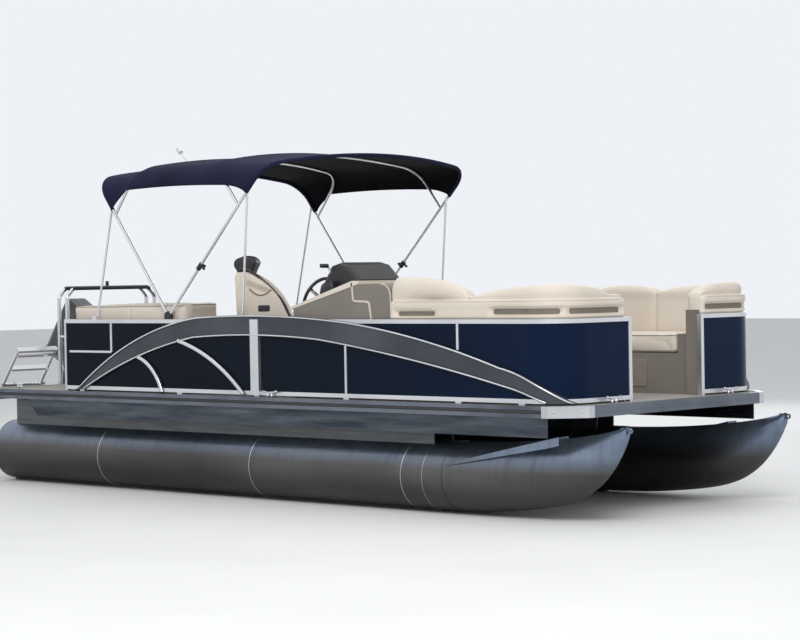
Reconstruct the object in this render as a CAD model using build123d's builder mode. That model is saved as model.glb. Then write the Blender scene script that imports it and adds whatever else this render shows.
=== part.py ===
"""Pontoon boat: two aluminium tubes under a fenced deck with a folding canopy.

Millimetres. +X points to the bow, +Y to port and +Z up. The keels stand on Z = 0,
and the origin is at the middle of the boat's length, under its centreline.
"""

import math
import os

from build123d import *

os.makedirs("parts", exist_ok=True)

SIDES = (("starboard", -1), ("port", 1))
touch = 0.3

# Deck and its place along the boat
beam = 2590.0
deck_length = 6950.0
deck_top = 850.0
deck_board = 25.0
corner_cut = 215.0
nose_reach = 312.0

# Outboard motor: places are distances behind and below its tilt axis, motor upright
parked_trim = 30.0
tilt_gap = 160.0
tilt_z = 860.0
shaft_drop = 850.0
gear_aft = 420.0
prop_gap = 5.0
hub_length = 104.0
hub_radius = 34.0

trim = math.radians(parked_trim)
hub_end = gear_aft + prop_gap + hub_length
motor_reach = tilt_gap + hub_end * math.cos(trim) + (shaft_drop + hub_radius) * math.sin(trim)
bow = (deck_length + motor_reach - nose_reach) / 2
stern = bow - deck_length

# Edge of the deck and what is under it
rub_height = 86.0
rub_width = 40.0
casting_arm = 60.0
member_height = 75.0
member_width = 45.0
member_wall = 5.0
member_pitch = 406.0
groove_height = 26.0
groove_depth = 7.0
skirt_low = 620.0
skirt_thickness = 5.0
skirt_inset = 20.0
skirt_aft = deck_length - 650
deck_under = deck_top - deck_board
member_under = deck_under - member_height

# Tubes
tube_radius = 265.0
keel_height = 15.0
keel_width = 60.0
tube_spread = beam / 2 - 310
tube_aft_gap = 50.0
collar_aft = 1520.0
collar_length = 210.0
tube_height = keel_height + tube_radius

# Fence
fence_half_width = beam / 2 - 49
fence_front = 118.0
fence_stern = 5867.0
fence_foot = 14.0
fence_top = 1478.0
rail_width = 38.0
rail_height = 32.0
panel_thickness = 20.0
fence_bow_radius = 320.0
fence_stern_radius = 60.0
bow_gate_half = 428.0
fence_low = deck_top + fence_foot


def at(aft):
    """X of a place given by its distance behind the deck's front edge."""
    return bow - aft


def deck_plan(inset):
    """Corners of the deck's plan, moved in by inset from the outer edge."""
    side = beam / 2 - inset
    bevel = inset * math.tan(math.radians(22.5))
    return [
        (stern + inset, -side),
        (at(corner_cut) - bevel, -side),
        (bow - inset, -side + corner_cut - inset + bevel),
        (bow - inset, side - corner_cut + inset - bevel),
        (at(corner_cut) - bevel, side),
        (stern + inset, side),
    ]


# Deck board
with BuildPart() as deck:
    with BuildSketch(Plane.XY.offset(deck_under)):
        with BuildLine():
            Polyline(*deck_plan(rub_width), close=True)
        make_face()
    extrude(amount=deck_board)
deck.part.label = "deck"
export_step(deck.part, "parts/deck.step")

# Rub rail: the extrusion round the deck's edge, which stops at the corner castings
with BuildPart() as rub_rail:
    with BuildSketch(Plane.XY.offset(deck_top - rub_height)):
        with BuildLine():
            Polyline(*deck_plan(0), close=True)
        make_face()
        with BuildLine():
            Polyline(*deck_plan(rub_width), close=True)
        make_face(mode=Mode.SUBTRACT)
    extrude(amount=rub_height)
    with BuildSketch(Plane.XY.offset(deck_top - rub_height / 2 - groove_height / 2)):
        with BuildLine():
            Polyline(*deck_plan(-1), close=True)
        make_face()
        with BuildLine():
            Polyline(*deck_plan(groove_depth), close=True)
        make_face(mode=Mode.SUBTRACT)
    extrude(amount=groove_height, mode=Mode.SUBTRACT)
    for name, side in SIDES:
        corner_y = side * (beam / 2 - (corner_cut + casting_arm) / 2)
        with Locations((at((corner_cut + casting_arm) / 2), corner_y, deck_top)):
            Box(corner_cut + casting_arm, corner_cut + casting_arm, 300, mode=Mode.SUBTRACT)
rub_rail.part.label = "rub_rail"
export_step(rub_rail.part, "parts/rub_rail.step")

# Corner castings at the bow
with BuildPart() as corner_castings:
    with BuildSketch(Plane.XY.offset(deck_top - rub_height)):
        with BuildLine():
            Polyline(*deck_plan(0), close=True)
        make_face()
        with BuildLine():
            Polyline(*deck_plan(rub_width), close=True)
        make_face(mode=Mode.SUBTRACT)
    extrude(amount=rub_height)
    with Locations((at((corner_cut + casting_arm) / 2), 0, deck_top - rub_height / 2)):
        Box(corner_cut + casting_arm, beam, rub_height, mode=Mode.INTERSECT)
    with Locations((at((corner_cut + casting_arm) / 2), 0, deck_top)):
        Box(corner_cut + casting_arm, beam - 2 * (corner_cut + casting_arm), 300, mode=Mode.SUBTRACT)
corner_castings.part.label = "corner_castings"
export_step(corner_castings.part, "parts/corner_castings.step")

# Cross members: channels under the deck board, from rail to rail
member_count = int((deck_length - 2 * rub_width - 500) / member_pitch) + 1
with BuildPart() as cross_members:
    for index in range(member_count):
        start = stern + rub_width + 60 + index * member_pitch
        with BuildSketch(Plane.XZ.offset(-(beam / 2 - rub_width))) as channel:
            with Locations((start, member_under)):
                Rectangle(member_width, member_height, align=(Align.MIN, Align.MIN))
            with Locations((start + member_wall, member_under + member_wall)):
                Rectangle(
                    member_width,
                    member_height - 2 * member_wall,
                    align=(Align.MIN, Align.MIN),
                    mode=Mode.SUBTRACT,
                )
        extrude(amount=beam - 2 * rub_width)
cross_members.part.label = "cross_members"
export_step(cross_members.part, "parts/cross_members.step")

# Side skirts: thin sheets that hang from the rub rail, cut slanted at the stern
with BuildPart() as side_skirts:
    for name, side in SIDES:
        outer = side * (beam / 2 - skirt_inset)
        with BuildSketch(Plane.XZ.offset(-outer)):
            with BuildLine():
                Polyline(
                    (at(skirt_aft + 60), deck_top - rub_height),
                    (at(skirt_aft - 90), skirt_low),
                    (at(corner_cut + 20), skirt_low),
                    (at(corner_cut + 20), deck_top - rub_height),
                    close=True,
                )
            make_face()
        extrude(amount=side * skirt_thickness)
side_skirts.part.label = "side_skirts"
export_step(side_skirts.part, "parts/side_skirts.step")

# Tubes. Nose sections: distance behind the deck's front edge, half width, low and high
nose_sections = (
    (collar_aft - collar_length, 265.0, 15.0, 545.0),
    (1190.0, 264.0, 17.0, 546.0),
    (960.0, 258.0, 28.0, 553.0),
    (580.0, 238.0, 66.0, 574.0),
    (240.0, 200.0, 132.0, 606.0),
    (40.0, 150.0, 225.0, 632.0),
    (-130.0, 92.0, 380.0, 664.0),
    (-270.0, 26.0, 600.0, 702.0),
)
eye_radius = 9.5
eye_plate = 12.0
collar_proud = 3.0
strake_side = ((1290.0, 372.0), (1290.0, 386.0), (280.0, 616.0), (280.0, 548.0))
strake_plan = ((1290.0, 251.0), (780.0, 211.0), (280.0, 113.0))
for name, side in SIDES:
    axis_y = side * tube_spread
    with BuildPart() as tube:
        with BuildSketch(Plane.YZ.offset(stern + tube_aft_gap)):
            with Locations((axis_y, tube_height)):
                Circle(tube_radius)
        extrude(amount=at(collar_aft - collar_length) - stern - tube_aft_gap)
        for aft, half, low, high in nose_sections:
            with BuildSketch(Plane.YZ.offset(at(aft))):
                with BuildLine():
                    ThreePointArc((axis_y, low), (axis_y - half, (low + high) / 2), (axis_y, high))
                    ThreePointArc((axis_y, high), (axis_y + half, (low + high) / 2), (axis_y, low))
                make_face()
        loft()
        with BuildSketch(Plane.YZ.offset(at(collar_aft))):
            with Locations((axis_y, tube_height)):
                Circle(tube_radius + collar_proud)
                Circle(tube_radius - 4, mode=Mode.SUBTRACT)
        extrude(amount=collar_length)
        with BuildPart() as strake:
            with BuildSketch(Plane.XZ):
                with BuildLine():
                    Polyline(*[(at(aft), z) for aft, z in strake_side], close=True)
                make_face()
            extrude(amount=-side * beam)
            with BuildSketch(Plane.XY):
                with BuildLine():
                    first, middle, last = [(at(aft), side * (tube_spread + out)) for aft, out in strake_plan]
                    ThreePointArc(first, middle, last)
                    Line(last, (last[0], axis_y))
                    Line((last[0], axis_y), (first[0], axis_y))
                    Line((first[0], axis_y), first)
                make_face()
            extrude(amount=deck_top, mode=Mode.INTERSECT)
        with Locations((at(collar_aft), axis_y, keel_height)):
            Box(
                deck_length - tube_aft_gap - collar_aft,
                keel_width,
                2 * keel_height,
                align=(Align.MAX, Align.CENTER, Align.CENTER),
            )
        with BuildSketch(Plane.XZ.offset(-axis_y - eye_plate / 2)):
            with Locations((at(-nose_reach + 21), 672)):
                Circle(21)
            with Locations((at(-nose_reach + 60), 672)):
                Rectangle(78, 42)
        extrude(amount=eye_plate)
        with BuildSketch(Plane.XZ.offset(-axis_y - eye_plate / 2)):
            with Locations((at(-nose_reach + 21), 672)):
                Circle(eye_radius)
        extrude(amount=eye_plate, mode=Mode.SUBTRACT)
    tube.part.label = f"tube_{name}"
    export_step(tube.part, f"parts/tube_{name}.step")

# Tube brackets: a riser along each tube, open below, that carries the cross members
riser_half = 110.0
riser_wall = 8.0
riser_foot = tube_height + math.sqrt(tube_radius**2 - riser_half**2) - 30
with BuildPart() as tube_brackets:
    for name, side in SIDES:
        with BuildSketch(Plane.YZ.offset(stern + 200)):
            with Locations((side * tube_spread, riser_foot)):
                Rectangle(2 * riser_half, member_under - riser_foot, align=(Align.CENTER, Align.MIN))
            with Locations((side * tube_spread, riser_foot)):
                Rectangle(
                    2 * (riser_half - riser_wall),
                    member_under - riser_foot - riser_wall,
                    align=(Align.CENTER, Align.MIN),
                    mode=Mode.SUBTRACT,
                )
            with Locations((side * tube_spread, tube_height)):
                Circle(tube_radius + touch, mode=Mode.SUBTRACT)
        extrude(amount=deck_length - 200 - collar_aft)
tube_brackets.part.label = "tube_brackets"
export_step(tube_brackets.part, "parts/tube_brackets.step")

# Motor pod between the tubes, with the transom plate at its aft end
pod_half = 330.0
pod_length = 900.0
pod_low = 330.0
transom_aft = deck_length + 40
transom_thickness = 45.0
transom_top = 800.0
with BuildPart() as motor_pod:
    with BuildSketch(Plane.XZ.offset(-pod_half)):
        with BuildLine():
            Polyline(
                (at(transom_aft), pod_low),
                (at(transom_aft), member_under),
                (at(transom_aft - pod_length), member_under),
                (at(transom_aft - pod_length), member_under - 60),
                (at(transom_aft - pod_length * 0.6), pod_low),
                close=True,
            )
        make_face()
    extrude(amount=2 * pod_half)
    with Locations((at(transom_aft), 0, pod_low)):
        Box(
            transom_thickness,
            2 * pod_half - 120,
            transom_top - pod_low,
            align=(Align.MAX, Align.CENTER, Align.MIN),
        )
motor_pod.part.label = "motor_pod"
export_step(motor_pod.part, "parts/motor_pod.step")


def fence_plan(inset):
    """Outline of the fence in plan as a face, moved in by inset from its outside."""
    with BuildSketch() as plan:
        with Locations(((at(fence_stern) + at(fence_front)) / 2, 0)):
            Rectangle(fence_stern - fence_front, 2 * fence_half_width)
        bow_corners = plan.vertices().sort_by(Axis.X)[2:]
        fillet(bow_corners, fence_bow_radius)
        stern_corners = plan.vertices().sort_by(Axis.X)[:2]
        fillet(stern_corners, fence_stern_radius)
        if inset:
            offset(amount=-inset)
    return plan.sketch


def fence_band(outer, inner):
    """The strip between two insets of the fence's outline."""
    return fence_plan(outer) - fence_plan(inner)


# Posts of a side: distance aft, width, lowest point, how far it stands proud
seam_height = 1197.0
seam_end = 5190.0
side_posts = (
    (seam_end, 24.0, seam_height, 0.0),
    (3345.0, 96.0, fence_low, 20.0),
    (2315.0, 22.0, fence_low, 0.0),
    (1127.0, 22.0, 1250.0, 0.0),
)
gate_post = 36.0
stern_gate = (fence_half_width - 726, fence_half_width - 126)
stern_post = 36.0
arch_thickness = 16.0
arch_field = 8.0
arch_bead = 16.0

# Fence frames: top and bottom rails, posts and feet, then the panels between them
side_frames = {}
for name, side in SIDES:
    with BuildPart() as frame:
        for low in (fence_low, fence_top - rail_height):
            with BuildSketch(Plane.XY.offset(low)):
                add(fence_band(0, rail_width))
            extrude(amount=rail_height)
        inner_y = side * (fence_half_width - rail_width)
        for aft, width, low, proud in side_posts:
            with Locations((at(aft), inner_y, low)):
                Box(
                    width,
                    rail_width + proud,
                    fence_top - low,
                    align=(Align.CENTER, Align.MIN if side > 0 else Align.MAX, Align.MIN),
                )
        with Locations((at(fence_stern - rail_width), inner_y, seam_height)):
            Box(
                fence_stern - rail_width - seam_end,
                rail_width,
                18,
                align=(Align.MIN, Align.MIN if side > 0 else Align.MAX, Align.CENTER),
            )
        with Locations((at(fence_front), side * bow_gate_half, fence_low)):
            Box(
                rail_width,
                gate_post,
                fence_top - fence_low,
                align=(Align.MAX, Align.MIN if side > 0 else Align.MAX, Align.MIN),
            )
        with Locations((0, side * (bow_gate_half + beam / 2), 0)):
            Box(3 * beam + deck_length, beam, 4 * fence_top, mode=Mode.INTERSECT)
        with Locations((at(fence_stern - rail_width - fence_stern_radius), 0, 0)):
            Box(
                deck_length,
                2 * beam,
                4 * fence_top,
                align=(Align.MIN, Align.CENTER, Align.CENTER),
                mode=Mode.INTERSECT,
            )
        for aft in (5600, 4300, 3345, 2315, 1127, 500):
            with Locations((at(aft), side * (fence_half_width - rail_width / 2), deck_top)):
                Box(60, rail_width, fence_foot, align=(Align.CENTER, Align.CENTER, Align.MIN))
        with Locations((at(fence_front), side * (bow_gate_half + gate_post / 2), deck_top)):
            Box(rail_width, gate_post, fence_foot, align=(Align.MAX, Align.CENTER, Align.MIN))
    frame.part.label = f"fence_frame_{name}"
    side_frames[name] = frame.part
    export_step(frame.part, f"parts/fence_frame_{name}.step")

    panel_inset = (rail_width - panel_thickness) / 2
    with BuildPart() as panels:
        with BuildSketch(Plane.XY.offset(fence_low)):
            add(fence_band(panel_inset, panel_inset + panel_thickness))
        extrude(amount=fence_top - fence_low)
        with Locations((0, side * (bow_gate_half + beam / 2), 0)):
            Box(3 * beam + deck_length, beam, 4 * fence_top, mode=Mode.INTERSECT)
        with Locations((at(fence_stern - rail_width - fence_stern_radius), 0, 0)):
            Box(
                deck_length,
                2 * beam,
                4 * fence_top,
                align=(Align.MIN, Align.CENTER, Align.CENTER),
                mode=Mode.INTERSECT,
            )
        add(frame.part, mode=Mode.SUBTRACT)
    panels.part.label = f"fence_panels_{name}"
    export_step(panels.part, f"parts/fence_panels_{name}.step")

# Stern fence: the frame with its corner posts and the gateway, then its panels
with BuildPart() as frame_stern:
    for low in (fence_low, fence_top - rail_height):
        with BuildSketch(Plane.XY.offset(low)):
            add(fence_band(0, rail_width))
        extrude(amount=rail_height)
    with Locations((at(fence_stern - rail_width - fence_stern_radius), 0, 0)):
        Box(
            deck_length,
            2 * beam,
            4 * fence_top,
            align=(Align.MAX, Align.CENTER, Align.CENTER),
            mode=Mode.INTERSECT,
        )
    with Locations((at(fence_stern), sum(stern_gate) / 2, 0)):
        Box(
            4 * rail_width,
            stern_gate[1] - stern_gate[0],
            4 * fence_top,
            mode=Mode.SUBTRACT,
        )
    post_places = (
        (stern_gate[0] - stern_post / 2, stern_post),
        (stern_gate[1] + stern_post / 2, stern_post),
        (-fence_half_width + rail_width / 2 + 22, stern_post),
        (fence_half_width - rail_width / 2 - 22, stern_post),
    )
    for place, width in post_places:
        with Locations((at(fence_stern), place, deck_top)):
            Box(rail_width, width, fence_top - deck_top, align=(Align.MIN, Align.CENTER, Align.MIN))
frame_stern.part.label = "fence_frame_stern"
export_step(frame_stern.part, "parts/fence_frame_stern.step")

with BuildPart() as panels_stern:
    with BuildSketch(Plane.XY.offset(fence_low)):
        add(fence_band(panel_inset, panel_inset + panel_thickness))
    extrude(amount=fence_top - fence_low)
    with Locations((at(fence_stern - rail_width - fence_stern_radius), 0, 0)):
        Box(
            deck_length,
            2 * beam,
            4 * fence_top,
            align=(Align.MAX, Align.CENTER, Align.CENTER),
            mode=Mode.INTERSECT,
        )
    with Locations((at(fence_stern), sum(stern_gate) / 2, 0)):
        Box(
            4 * rail_width,
            stern_gate[1] - stern_gate[0],
            4 * fence_top,
            mode=Mode.SUBTRACT,
        )
    add(frame_stern.part, mode=Mode.SUBTRACT)
panels_stern.part.label = "fence_panels_stern"
export_step(panels_stern.part, "parts/fence_panels_stern.step")

# Arches: raised bands over the side of the fence, with two curved struts below each.
# Curves as (distance aft, height) of start, middle and end.
arch_outer = (
    ((5660.0, fence_low), (5044.0, 1224.0), (4071.0, 1496.0)),
    ((4071.0, 1496.0), (3180.0, 1512.0), (2290.0, 1458.0)),
    ((2290.0, 1458.0), (1509.0, 1333.0), (706.0, 1128.0)),
    ((706.0, 1128.0), (400.0, 1030.0), (138.0, fence_low)),
)
arch_inner = (
    ((290.0, fence_low), (450.0, 925.0), (640.0, 975.0)),
    ((640.0, 975.0), (1513.0, 1150.0), (2600.0, 1312.0)),
    ((2600.0, 1312.0), (3399.0, 1345.0), (4100.0, 1322.0)),
    ((4100.0, 1322.0), (4872.0, 1139.0), (5562.0, fence_low)),
)
arch_struts = (
    (((4850.0, 1150.0), (4640.0, 1030.0), (4540.0, fence_low)),
     ((4500.0, fence_low), (4600.0, 1035.0), (4800.0, 1170.0))),
    (((4330.0, 1290.0), (3900.0, 1135.0), (3520.0, fence_low)),
     ((3470.0, fence_low), (3860.0, 1150.0), (4270.0, 1310.0))),
)


def curved_face(*chains):
    """A face bounded by chains of three-point arcs, closed by straight lines."""
    with BuildSketch(Plane.XZ) as drawn:
        with BuildLine():
            first = None
            last = None
            for chain in chains:
                for start, middle, end in chain:
                    here = (at(start[0]), start[1])
                    if last is None:
                        first = here
                    elif math.dist(last, here) > 0.01:
                        Line(last, here)
                    last = (at(end[0]), end[1])
                    ThreePointArc(here, (at(middle[0]), middle[1]), last)
            Line(last, first)
        make_face()
    return drawn.sketch


whole = curved_face(arch_outer, arch_inner)
edges_only = whole - offset(whole, amount=-arch_bead)
struts = [curved_face((outer,), (inner,)) for outer, inner in arch_struts]
for name, side in SIDES:
    with BuildPart() as arch:
        for face, proud in [(whole, arch_field), (edges_only, arch_thickness)] + [(s, 12.0) for s in struts]:
            with BuildPart():
                with BuildSketch(Plane.XY.offset(deck_top)):
                    add(fence_band(-proud, panel_inset))
                    with Locations((0, side * (bow_gate_half + gate_post + beam / 2))):
                        Rectangle(3 * beam + deck_length, beam, mode=Mode.INTERSECT)
                extrude(amount=fence_top)
                extrude(face, amount=beam, both=True, mode=Mode.INTERSECT)
        add(side_frames[name], mode=Mode.SUBTRACT)
    arch.part.label = f"arch_{name}"
    export_step(arch.part, f"parts/arch_{name}.step")

# Gates: a tube frame and its panel, on a pin that the fence's lugs hold
gate_low = 884.0
gate_high = 1462.0
gate_thickness = 24.0
gate_tube = 26.0
gate_edge = 12.0
gate_gap = 18.0
pin_behind = 12.0
gate_overlap = 14.0
hinge_pin = 5.0
hinge_play = 0.06
hinge_barrel = 9.0
lug_height = 20.0
lug_drop = 30.0


def gate_hinge(x, y, toward):
    """Pin with two lugs that reach from the pin to the fence, which lies toward +X or -X."""
    with BuildPart() as hinge:
        with Locations((x, y, gate_low + lug_drop)):
            Cylinder(
                hinge_pin,
                gate_high - gate_low - 2 * lug_drop,
                align=(Align.CENTER, Align.CENTER, Align.MIN),
            )
        for low in (gate_low + lug_drop, gate_high - lug_drop - lug_height):
            with Locations((x, y, low)):
                Cylinder(hinge_barrel, lug_height, align=(Align.CENTER, Align.CENTER, Align.MIN))
                Box(
                    gate_gap,
                    2 * hinge_barrel - 2,
                    lug_height,
                    align=(Align.MIN if toward > 0 else Align.MAX, Align.CENTER, Align.MIN),
                )
    return hinge.part


def gate_pieces(x, y, width, facing):
    """Frame and panel of a gate that reaches from its pin along facing, an (x, y) pair."""
    turn = math.degrees(math.atan2(facing[1], facing[0]))
    plane = Plane(origin=(x, y, 0), x_dir=(facing[0], facing[1], 0), z_dir=(facing[1], -facing[0], 0))
    with BuildPart() as gate_frame:
        with BuildSketch(plane):
            with Locations((gate_edge, gate_low)):
                Rectangle(width - gate_edge, gate_high - gate_low, align=(Align.MIN, Align.MIN))
            with Locations((gate_edge + gate_tube, gate_low + gate_tube)):
                Rectangle(
                    width - gate_edge - 2 * gate_tube,
                    gate_high - gate_low - 2 * gate_tube,
                    align=(Align.MIN, Align.MIN),
                    mode=Mode.SUBTRACT,
                )
        extrude(amount=gate_thickness / 2, both=True)
        low = gate_low + lug_drop + lug_height + 2
        high = gate_high - lug_drop - lug_height - 2
        with Locations((x, y, low)):
            Cylinder(hinge_barrel, high - low, align=(Align.CENTER, Align.CENTER, Align.MIN))
            with Locations(Rotation(0, 0, turn)):
                Box(
                    gate_edge + 2,
                    2 * hinge_barrel - 4,
                    high - low,
                    align=(Align.MIN, Align.CENTER, Align.MIN),
                )
        with Locations((x, y, low)):
            Cylinder(
                hinge_pin + hinge_play,
                high - low,
                align=(Align.CENTER, Align.CENTER, Align.MIN),
                mode=Mode.SUBTRACT,
            )
    with BuildPart() as gate_panel:
        with BuildSketch(plane):
            with Locations((gate_edge + gate_tube, gate_low + gate_tube)):
                Rectangle(
                    width - gate_edge - 2 * gate_tube,
                    gate_high - gate_low - 2 * gate_tube,
                    align=(Align.MIN, Align.MIN),
                )
        extrude(amount=gate_thickness / 4, both=True)
    return gate_frame, gate_panel


bow_pin = (at(fence_front + rail_width + gate_gap), -bow_gate_half - pin_behind)
bow_gate_width = 2 * bow_gate_half + pin_behind + gate_overlap
bow_gate_frame, bow_gate_panel = gate_pieces(*bow_pin, bow_gate_width, (-1, 0))
bow_gate_frame.part.label = "bow_gate_frame"
export_step(bow_gate_frame.part, "parts/bow_gate_frame.step")
bow_gate_panel.part.label = "bow_gate_panel"
export_step(bow_gate_panel.part, "parts/bow_gate_panel.step")

stern_pin = (at(fence_stern - rail_width - gate_gap), stern_gate[1] + pin_behind)
stern_gate_width = stern_gate[1] - stern_gate[0] + pin_behind + gate_overlap
stern_gate_frame, stern_gate_panel = gate_pieces(*stern_pin, stern_gate_width, (0, -1))
stern_gate_frame.part.label = "stern_gate_frame"
export_step(stern_gate_frame.part, "parts/stern_gate_frame.step")
stern_gate_panel.part.label = "stern_gate_panel"
export_step(stern_gate_panel.part, "parts/stern_gate_panel.step")

with BuildPart() as gate_hinges:
    add(gate_hinge(*bow_pin, 1))
    add(gate_hinge(*stern_pin, -1))
gate_hinges.part.label = "gate_hinges"
export_step(gate_hinges.part, "parts/gate_hinges.step")

# Canopy frame: two main bows from a mount on each rail, each with a forked second bow
bow_half = fence_half_width - 26
bow_tube = 12.5
brace_tube = 10.0
mount_aft = 4450.0
mount_height = fence_top + 24
mount_radius = 44.0
corner_radius = 230.0
shoulder = 330.0
main_bows = (("aft", -0.609, 0.793, 1639.0), ("fore", 0.702, 0.712, 1868.0))
forks = {"aft": (1110.0, 0.62, 0.785, 611.0), "fore": (1278.0, -0.62, 0.785, 586.0)}
canopy_wall = 8.0
main_clear = 18.0
fork_clear = 18.6
canopy_drops = (145.0, 16.2, 35.5, 115.2)


def bow_plane(aft, height, run, rise):
    """Plane of a bow: x to port, y up the leg."""
    return Plane(origin=(at(aft), 0, height), x_dir=(0, 1, 0), z_dir=(rise, 0, -run))


def bow_path(crown, start, out=0.0):
    """Half outline of a bow from its leg's start over the crown, moved out by out."""
    half = bow_half + out
    turn = corner_radius + out
    top = crown + out
    leg = crown - shoulder
    rise = top - leg
    crown_radius = ((half - turn) ** 2 + rise**2 - turn**2) / (2 * (rise - turn))
    centre = top - crown_radius
    reach = math.hypot(half - turn, leg - centre)
    tangent = ((half - turn) * crown_radius / reach, centre + (leg - centre) * crown_radius / reach)
    middle = math.atan2(tangent[1] - leg, tangent[0] - half + turn) / 2
    bend = (half - turn + turn * math.cos(middle), leg + turn * math.sin(middle))
    Line((-half, start), (-half, leg))
    ThreePointArc((-half, leg), (-bend[0], bend[1]), (-tangent[0], tangent[1]))
    ThreePointArc((-tangent[0], tangent[1]), (0, top), tangent)
    ThreePointArc(tangent, bend, (half, leg))
    Line((half, leg), (half, start))


bow_planes = []
for name, run, rise, crown in main_bows:
    fork_reach, fork_run, fork_rise, fork_crown = forks[name]
    fork_aft = mount_aft - run * fork_reach
    fork_height = mount_height + rise * fork_reach
    main_plane = bow_plane(mount_aft, mount_height, run, rise)
    fork_plane = bow_plane(fork_aft, fork_height, fork_run, fork_rise)
    with BuildPart() as bimini_bow:
        with BuildLine(main_plane) as main_path:
            bow_path(crown, mount_radius + touch)
        with BuildSketch(Plane(main_path.line @ 0, z_dir=main_path.line % 0)):
            Circle(bow_tube)
        sweep(path=main_path.line)
        with BuildLine(fork_plane) as fork_path:
            bow_path(fork_crown, 0)
        with BuildSketch(Plane(fork_path.line @ 0, z_dir=fork_path.line % 0)):
            Circle(bow_tube)
        sweep(path=fork_path.line)
    bimini_bow.part.label = f"bimini_bow_{name}"
    export_step(bimini_bow.part, f"parts/bimini_bow_{name}.step")
    bow_planes.append((main_plane, crown, main_clear))
    bow_planes.append((fork_plane, fork_crown, fork_clear))

# Canopy: a shell lofted over the four bows, open below, its edge a drop below each shoulder
ordered = (bow_planes[0], bow_planes[1], bow_planes[3], bow_planes[2])
with BuildPart() as canopy:
    for (plane, crown, inner), drop in zip(ordered, canopy_drops):
        start = crown - shoulder - drop
        with BuildSketch(plane):
            with BuildLine():
                half = bow_half + inner
                bow_path(crown, start, inner + canopy_wall)
                bow_path(crown, start, inner)
                Line((half + canopy_wall, start), (half, start))
                Line((-half, start), (-half - canopy_wall, start))
            make_face()
    loft(ruled=True)
canopy.part.label = "canopy"
export_step(canopy.part, "parts/canopy.step")

# Canopy mounts on the rails, and the braces from the rail to each main bow
with BuildPart() as bimini_mounts:
    for name, side in SIDES:
        with BuildSketch(Plane.XZ.offset(-side * bow_half)):
            with Locations((at(mount_aft), mount_height)):
                Circle(mount_radius)
            with Locations((at(mount_aft), fence_top)):
                Rectangle(200, 200, align=(Align.CENTER, Align.MAX), mode=Mode.SUBTRACT)
        extrude(amount=11, both=True)
bimini_mounts.part.label = "bimini_mounts"
export_step(bimini_mounts.part, "parts/bimini_mounts.step")

# Braces: foot's distance aft, and how high above the mount the brace meets its bow
braces = ((5426.0, 968.0), (3548.0, 998.0))
brace_foot = 22.0
with BuildPart() as bimini_braces:
    for (name, run, rise, crown), (foot_aft, meet) in zip(main_bows, braces):
        top_aft = mount_aft - run * meet / rise
        for side in (-1, 1):
            y = side * (bow_half - bow_tube - brace_tube - touch)
            base = Vector(at(foot_aft), y, fence_top + brace_foot)
            tip = Vector(at(top_aft), y, mount_height + meet)
            lean = tip - base
            with BuildSketch(Plane(origin=base, z_dir=lean)):
                Circle(brace_tube)
            extrude(amount=lean.length)
            with Locations((at(foot_aft), side * (bow_half - 9), fence_top)):
                Box(50, 50, brace_foot + 8, align=(Align.CENTER, Align.CENTER, Align.MIN))
bimini_braces.part.label = "bimini_braces"
export_step(bimini_braces.part, "parts/bimini_braces.step")

# All-round light on the aft bow's crown
staff_length = 270.0
staff_tube = 7.0
main_plane, crown = bow_planes[0][:2]
top_point = main_plane.from_local_coords((0, crown, 0))
behind = main_plane.z_dir * -1
staff_way = Vector(-0.7071, 0, 0.7071)
staff_foot = top_point + behind * 26
with BuildPart() as light_staff:
    with BuildSketch(Plane(origin=top_point + behind * (bow_tube + touch), z_dir=behind)):
        Circle(9)
    extrude(amount=22)
    with BuildSketch(Plane(origin=staff_foot, z_dir=staff_way)):
        Circle(staff_tube)
    extrude(amount=staff_length)
    with BuildSketch(Plane(origin=staff_foot + staff_way * staff_length, z_dir=staff_way)):
        Circle(22)
    extrude(amount=55)
light_staff.part.label = "light_staff"
export_step(light_staff.part, "parts/light_staff.step")

# Tow bar: twin hoops over the motor, with rungs and a tow pin
tow_half = 530.0
tow_tube = 19.0
tow_knuckle = 1670.0
tow_top = 1750.0
tow_slant = 80.0
tow_hoops = (deck_length - 250, deck_length - 130)
tow_pin_radius = 16.0
with BuildPart() as tow_bar:
    for aft in tow_hoops:
        with BuildLine() as hoop:
            FilletPolyline(
                (at(aft), -tow_half, deck_top),
                (at(aft), -tow_half, tow_knuckle),
                (at(aft), -tow_half + tow_slant, tow_top),
                (at(aft), tow_half - tow_slant, tow_top),
                (at(aft), tow_half, tow_knuckle),
                (at(aft), tow_half, deck_top),
                radius=45,
            )
        with BuildSketch(Plane(hoop.line @ 0, z_dir=hoop.line % 0)):
            Circle(tow_tube)
        sweep(path=hoop.line)
        for side in (-1, 1):
            with Locations((at(aft), side * tow_half, deck_top)):
                Cylinder(42, 8, align=(Align.CENTER, Align.CENTER, Align.MIN))
    gap = tow_hoops[1] - tow_hoops[0]
    for y, z in ((-tow_half, 1300), (tow_half, 1300)):
        with Locations(Location((at(sum(tow_hoops) / 2), y, z), (0, 90, 0))):
            Cylinder(11, gap)
    with Locations((at(sum(tow_hoops) / 2), 0, tow_top)):
        Box(gap, 90, 14)
        Cylinder(tow_pin_radius, 62, align=(Align.CENTER, Align.CENTER, Align.MIN))
tow_bar.part.label = "tow_bar"
export_step(tow_bar.part, "parts/tow_bar.step")

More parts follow.
